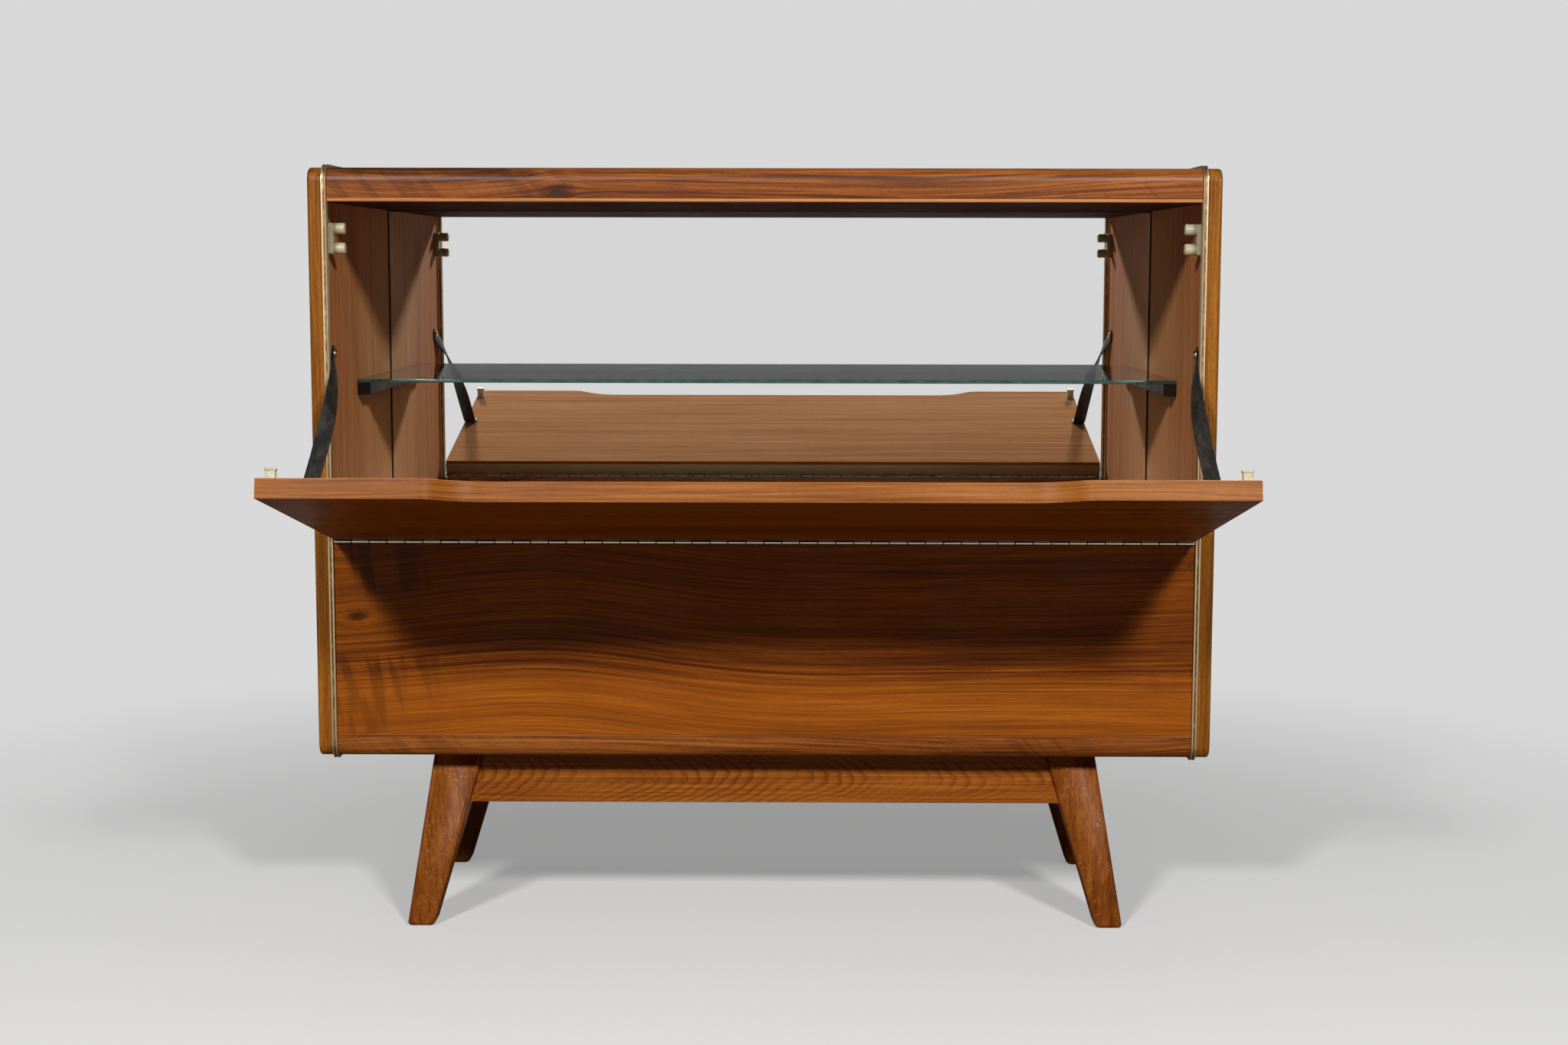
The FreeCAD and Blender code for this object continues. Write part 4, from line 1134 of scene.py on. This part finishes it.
# Shares of the way down to the flap, of a quarter turn and of the way inwards, in that order
STRAP_SHARES = ((0.0, 0.0, 0.0), (0.05, 0.03, 0.17), (0.11, 0.11, 0.38), (0.18, 0.21, 0.53),
                (0.26, 0.33, 0.67), (0.36, 0.49, 0.81), (0.47, 0.69, 0.91), (0.58, 0.87, 0.97),
                (0.7, 1.0, 1.0), (0.95, 1.0, 1.0))
STRAP_STEPS, STRAP_END_STEPS, EVENING_STEPS = 60, 8, 5
STRAP_CORNER = 0.45 * MM
FOOT_SHARES = (0.15, 0.3, 0.45, 0.6, 0.75, 0.9, 1.0)


def strap_ring(centre, across, normal, half_width):
    """Rounded rectangle of the band's section."""
    half, corner = STRAP_THICKNESS / 2, STRAP_CORNER
    ring = []
    for sign_a, sign_n, start in ((1, 1, 0), (-1, 1, 1), (-1, -1, 2), (1, -1, 3)):
        for step in range(3):
            turn = pi / 2 * (start + step / 2)
            ring.append(centre + across * (sign_a * (half_width - corner) + corner * cos(turn))
                        + normal * (sign_n * (half - corner) + corner * sin(turn)))
    return ring


def strap_course():
    """Reach, turn and drift at every step down to the flap, with the last two evened out."""
    reaches, turns, drifts = zip(*STRAP_SHARES)
    steps = np.linspace(0, reaches[-1], STRAP_STEPS)
    kernel = np.ones(EVENING_STEPS) / EVENING_STEPS
    evened = [np.convolve(np.pad(np.interp(steps, reaches, line), EVENING_STEPS // 2, "edge"), kernel,
                          "valid") for line in (turns, drifts)]
    return zip(steps, *evened)


def strap_rings(sign, top, heel, toe):
    """Sections of a strap: its round upper end, the twist, the bend onto the flap and the foot."""
    run = Vector((0, heel.y - top.y, heel.z - top.z))
    shift = Vector((heel.x - top.x, 0, 0))
    upright = Vector((0, -run.z, run.y)).normalized()
    outward, down = Vector((sign, 0, 0)), run.normalized()
    wide = STRAP_WIDTH / 2
    rings = []
    for step in range(STRAP_END_STEPS):
        turn = pi / 2 * (1 - step / STRAP_END_STEPS)
        rings.append(strap_ring(top - down * (wide * sin(turn)), upright, outward,
                                max(wide * cos(turn), 2 * STRAP_CORNER)))
    for reach, turn, drift in strap_course():
        angle = turn * pi / 2
        across = upright * cos(angle) - outward * sin(angle)
        normal = outward * cos(angle) + upright * sin(angle)
        rings.append(strap_ring(top + run * reach + shift * drift, across, normal, wide))
    before = top + run * STRAP_SHARES[-1][0] + shift
    foot_way = (toe - heel).normalized()
    after = heel + foot_way * (heel - before).length
    for share in FOOT_SHARES:
        centre = before.lerp(heel, share).lerp(heel.lerp(after, share), share)
        way = (heel - before).lerp(after - heel, share).normalized()
        rings.append(strap_ring(centre, -outward, (-outward).cross(way) * -sign, wide))
    rings.append(strap_ring(toe, -outward, (-outward).cross(foot_way) * -sign, wide))
    return rings


def straps(finish):
    half = STRAP_THICKNESS / 2
    for side, sign in SIDES.items():
        top = Vector((sign * (INNER_FACE - half), *middle_of("stay_screw_" + side).yz))
        heel, toe = (SHUT_TO_OPEN @ Vector((sign * STRAP_FOOT_ACROSS, FLAP_INNER_DEPTH + half,
                                            KNUCKLE_RADIUS + STRAP_REACH + step))
                     for step in (0, STRAP_FOOT))
        shape = bmesh.new()
        sweep(shape, strap_rings(sign, top, heel, toe))
        band = add_piece("strap_band_" + side, to_mesh(shape, "strap"), finish,
                         None, ("stay_strap_" + side,))
        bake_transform(band)


# Nails round the back panel
NAIL_RADIUS, NAIL_PROUD = 2.6 * MM, 0.8 * MM
NAIL_INSET = 9 * MM
NAILS_WIDE, NAILS_TALL = 8, 5
NAIL_SIDES = 16


def back_nails(steel):
    low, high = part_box("back_panel")
    shape = bmesh.new()
    across = np.linspace(low.x + NAIL_INSET, high.x - NAIL_INSET, NAILS_WIDE)
    upward = np.linspace(low.z + NAIL_INSET, high.z - NAIL_INSET, NAILS_TALL)
    places = [(x, z) for x in across for z in upward
              if x in (across[0], across[-1]) or z in (upward[0], upward[-1])]
    for x, z in places:
        lathe(shape, [(-NAIL_PROUD, 0), (-NAIL_PROUD, 0.8 * NAIL_RADIUS), (0, NAIL_RADIUS),
                      (0.5 * NAIL_PROUD, 0.85 * NAIL_RADIUS), (NAIL_PROUD, 0.4 * NAIL_RADIUS),
                      (NAIL_PROUD, 0)], turned_to((0, 1, 0), (x, high.y, z)), NAIL_SIDES)
    add_piece("back_nails", to_mesh(shape, "nails"), steel, "cabinet")


def finish_nodes(finishes):
    """Give each CAD node that shows its material."""
    for node, material in finishes.items():
        mesh = frame["nodes"][node].data
        mesh.materials.clear()
        mesh.materials.append(material)


make_camera()
make_world()
make_floor()
make_lamps()
scene.view_settings.view_transform = "Standard"

side, case, front = side_wood(), case_wood(), front_wood()
ceiling = inside_wood("ceiling_lining", EDGE_TONES, 12.0, CEILING_EDGE_SHOWN)
floor = inside_wood("floor_lining", FLOOR_EDGE_TONES, 15.0, FLOOR_EDGE_SHOWN)
flap = flap_wood("flap_edge_wood", EDGE_GLOSS)
flap_outside = flap_wood("flap_outside_wood", OUTSIDE_GLOSS)
flap_inside = flap_wood("flap_inside_wood", INSIDE_GLOSS)
legs, aprons = leg_wood(), apron_wood()
cleats = plain_wood("cleat_wood", "y", CLEAT_PAINTED_SHADE_TONES, 83.0, 0.45)
board = plain_wood("back_board", "x", BOARD_TONES, 89.0, 0.6)
brass = metal("screw_brass", SCREW_BRASS, SCREW_DULL, 0.18)
nickel = hinge_metal()
finish_nodes({
    "side_panel_left": side, "side_panel_right": side, "top_panel": case, "bottom_panel": case,
    "back_mirror": mirror_glass(), "glass_shelf": shelf_glass(),
})
# Nodes with their finish, slot and rounding
SOFT_PIECES = (
    (("fixed_front_panel",), front, "walnut_front", PANEL_ARRIS),
    (("ceiling_lining",), ceiling, "walnut_inside", CEILING_ARRIS),
    (("floor_lining",), floor, "walnut_inside", FLOOR_ARRIS),
    (("back_panel",), board, "back_board", BOARD_ARRIS),
    (("shelf_cleat_left", "shelf_cleat_right"), cleats, "cleat_wood", BOARD_ARRIS),
    (("apron_front", "apron_rear", "side_rail_left", "side_rail_right"), aprons, "apron_wood",
     BOARD_ARRIS),
    (("leg_front_left", "leg_front_right", "leg_rear_left", "leg_rear_right"), legs, "leg_wood",
     LEG_ARRIS),
)
softened("flap", flap, "walnut_flap", FLAP_ARRIS, "flap",
         ((flap_inside, FLAP_INWARDS), (flap_outside, -FLAP_INWARDS)))
for names, material, slot, radius in SOFT_PIECES:
    for node in names:
        softened(node, material, slot, radius)
plastic = ivory_plastic()
hinge_leaf("cabinet", -1, 0, Matrix.Translation(AXIS), nickel)
hinge_leaf("flap", 1, 1, SHUT_TO_OPEN, nickel)
hinge_screws("cabinet", -1, Matrix.Translation(AXIS), nickel)
hinge_screws("flap", 1, SHUT_TO_OPEN, nickel)
hinge_pin(nickel)
trim_beads(trim_brass())
catches(plastic)
strikers(plastic)
straps(strap_band())
stay_screws(brass)
back_nails(metal("nail_steel", NAIL_STEEL, NAIL_DULL, 0.3))
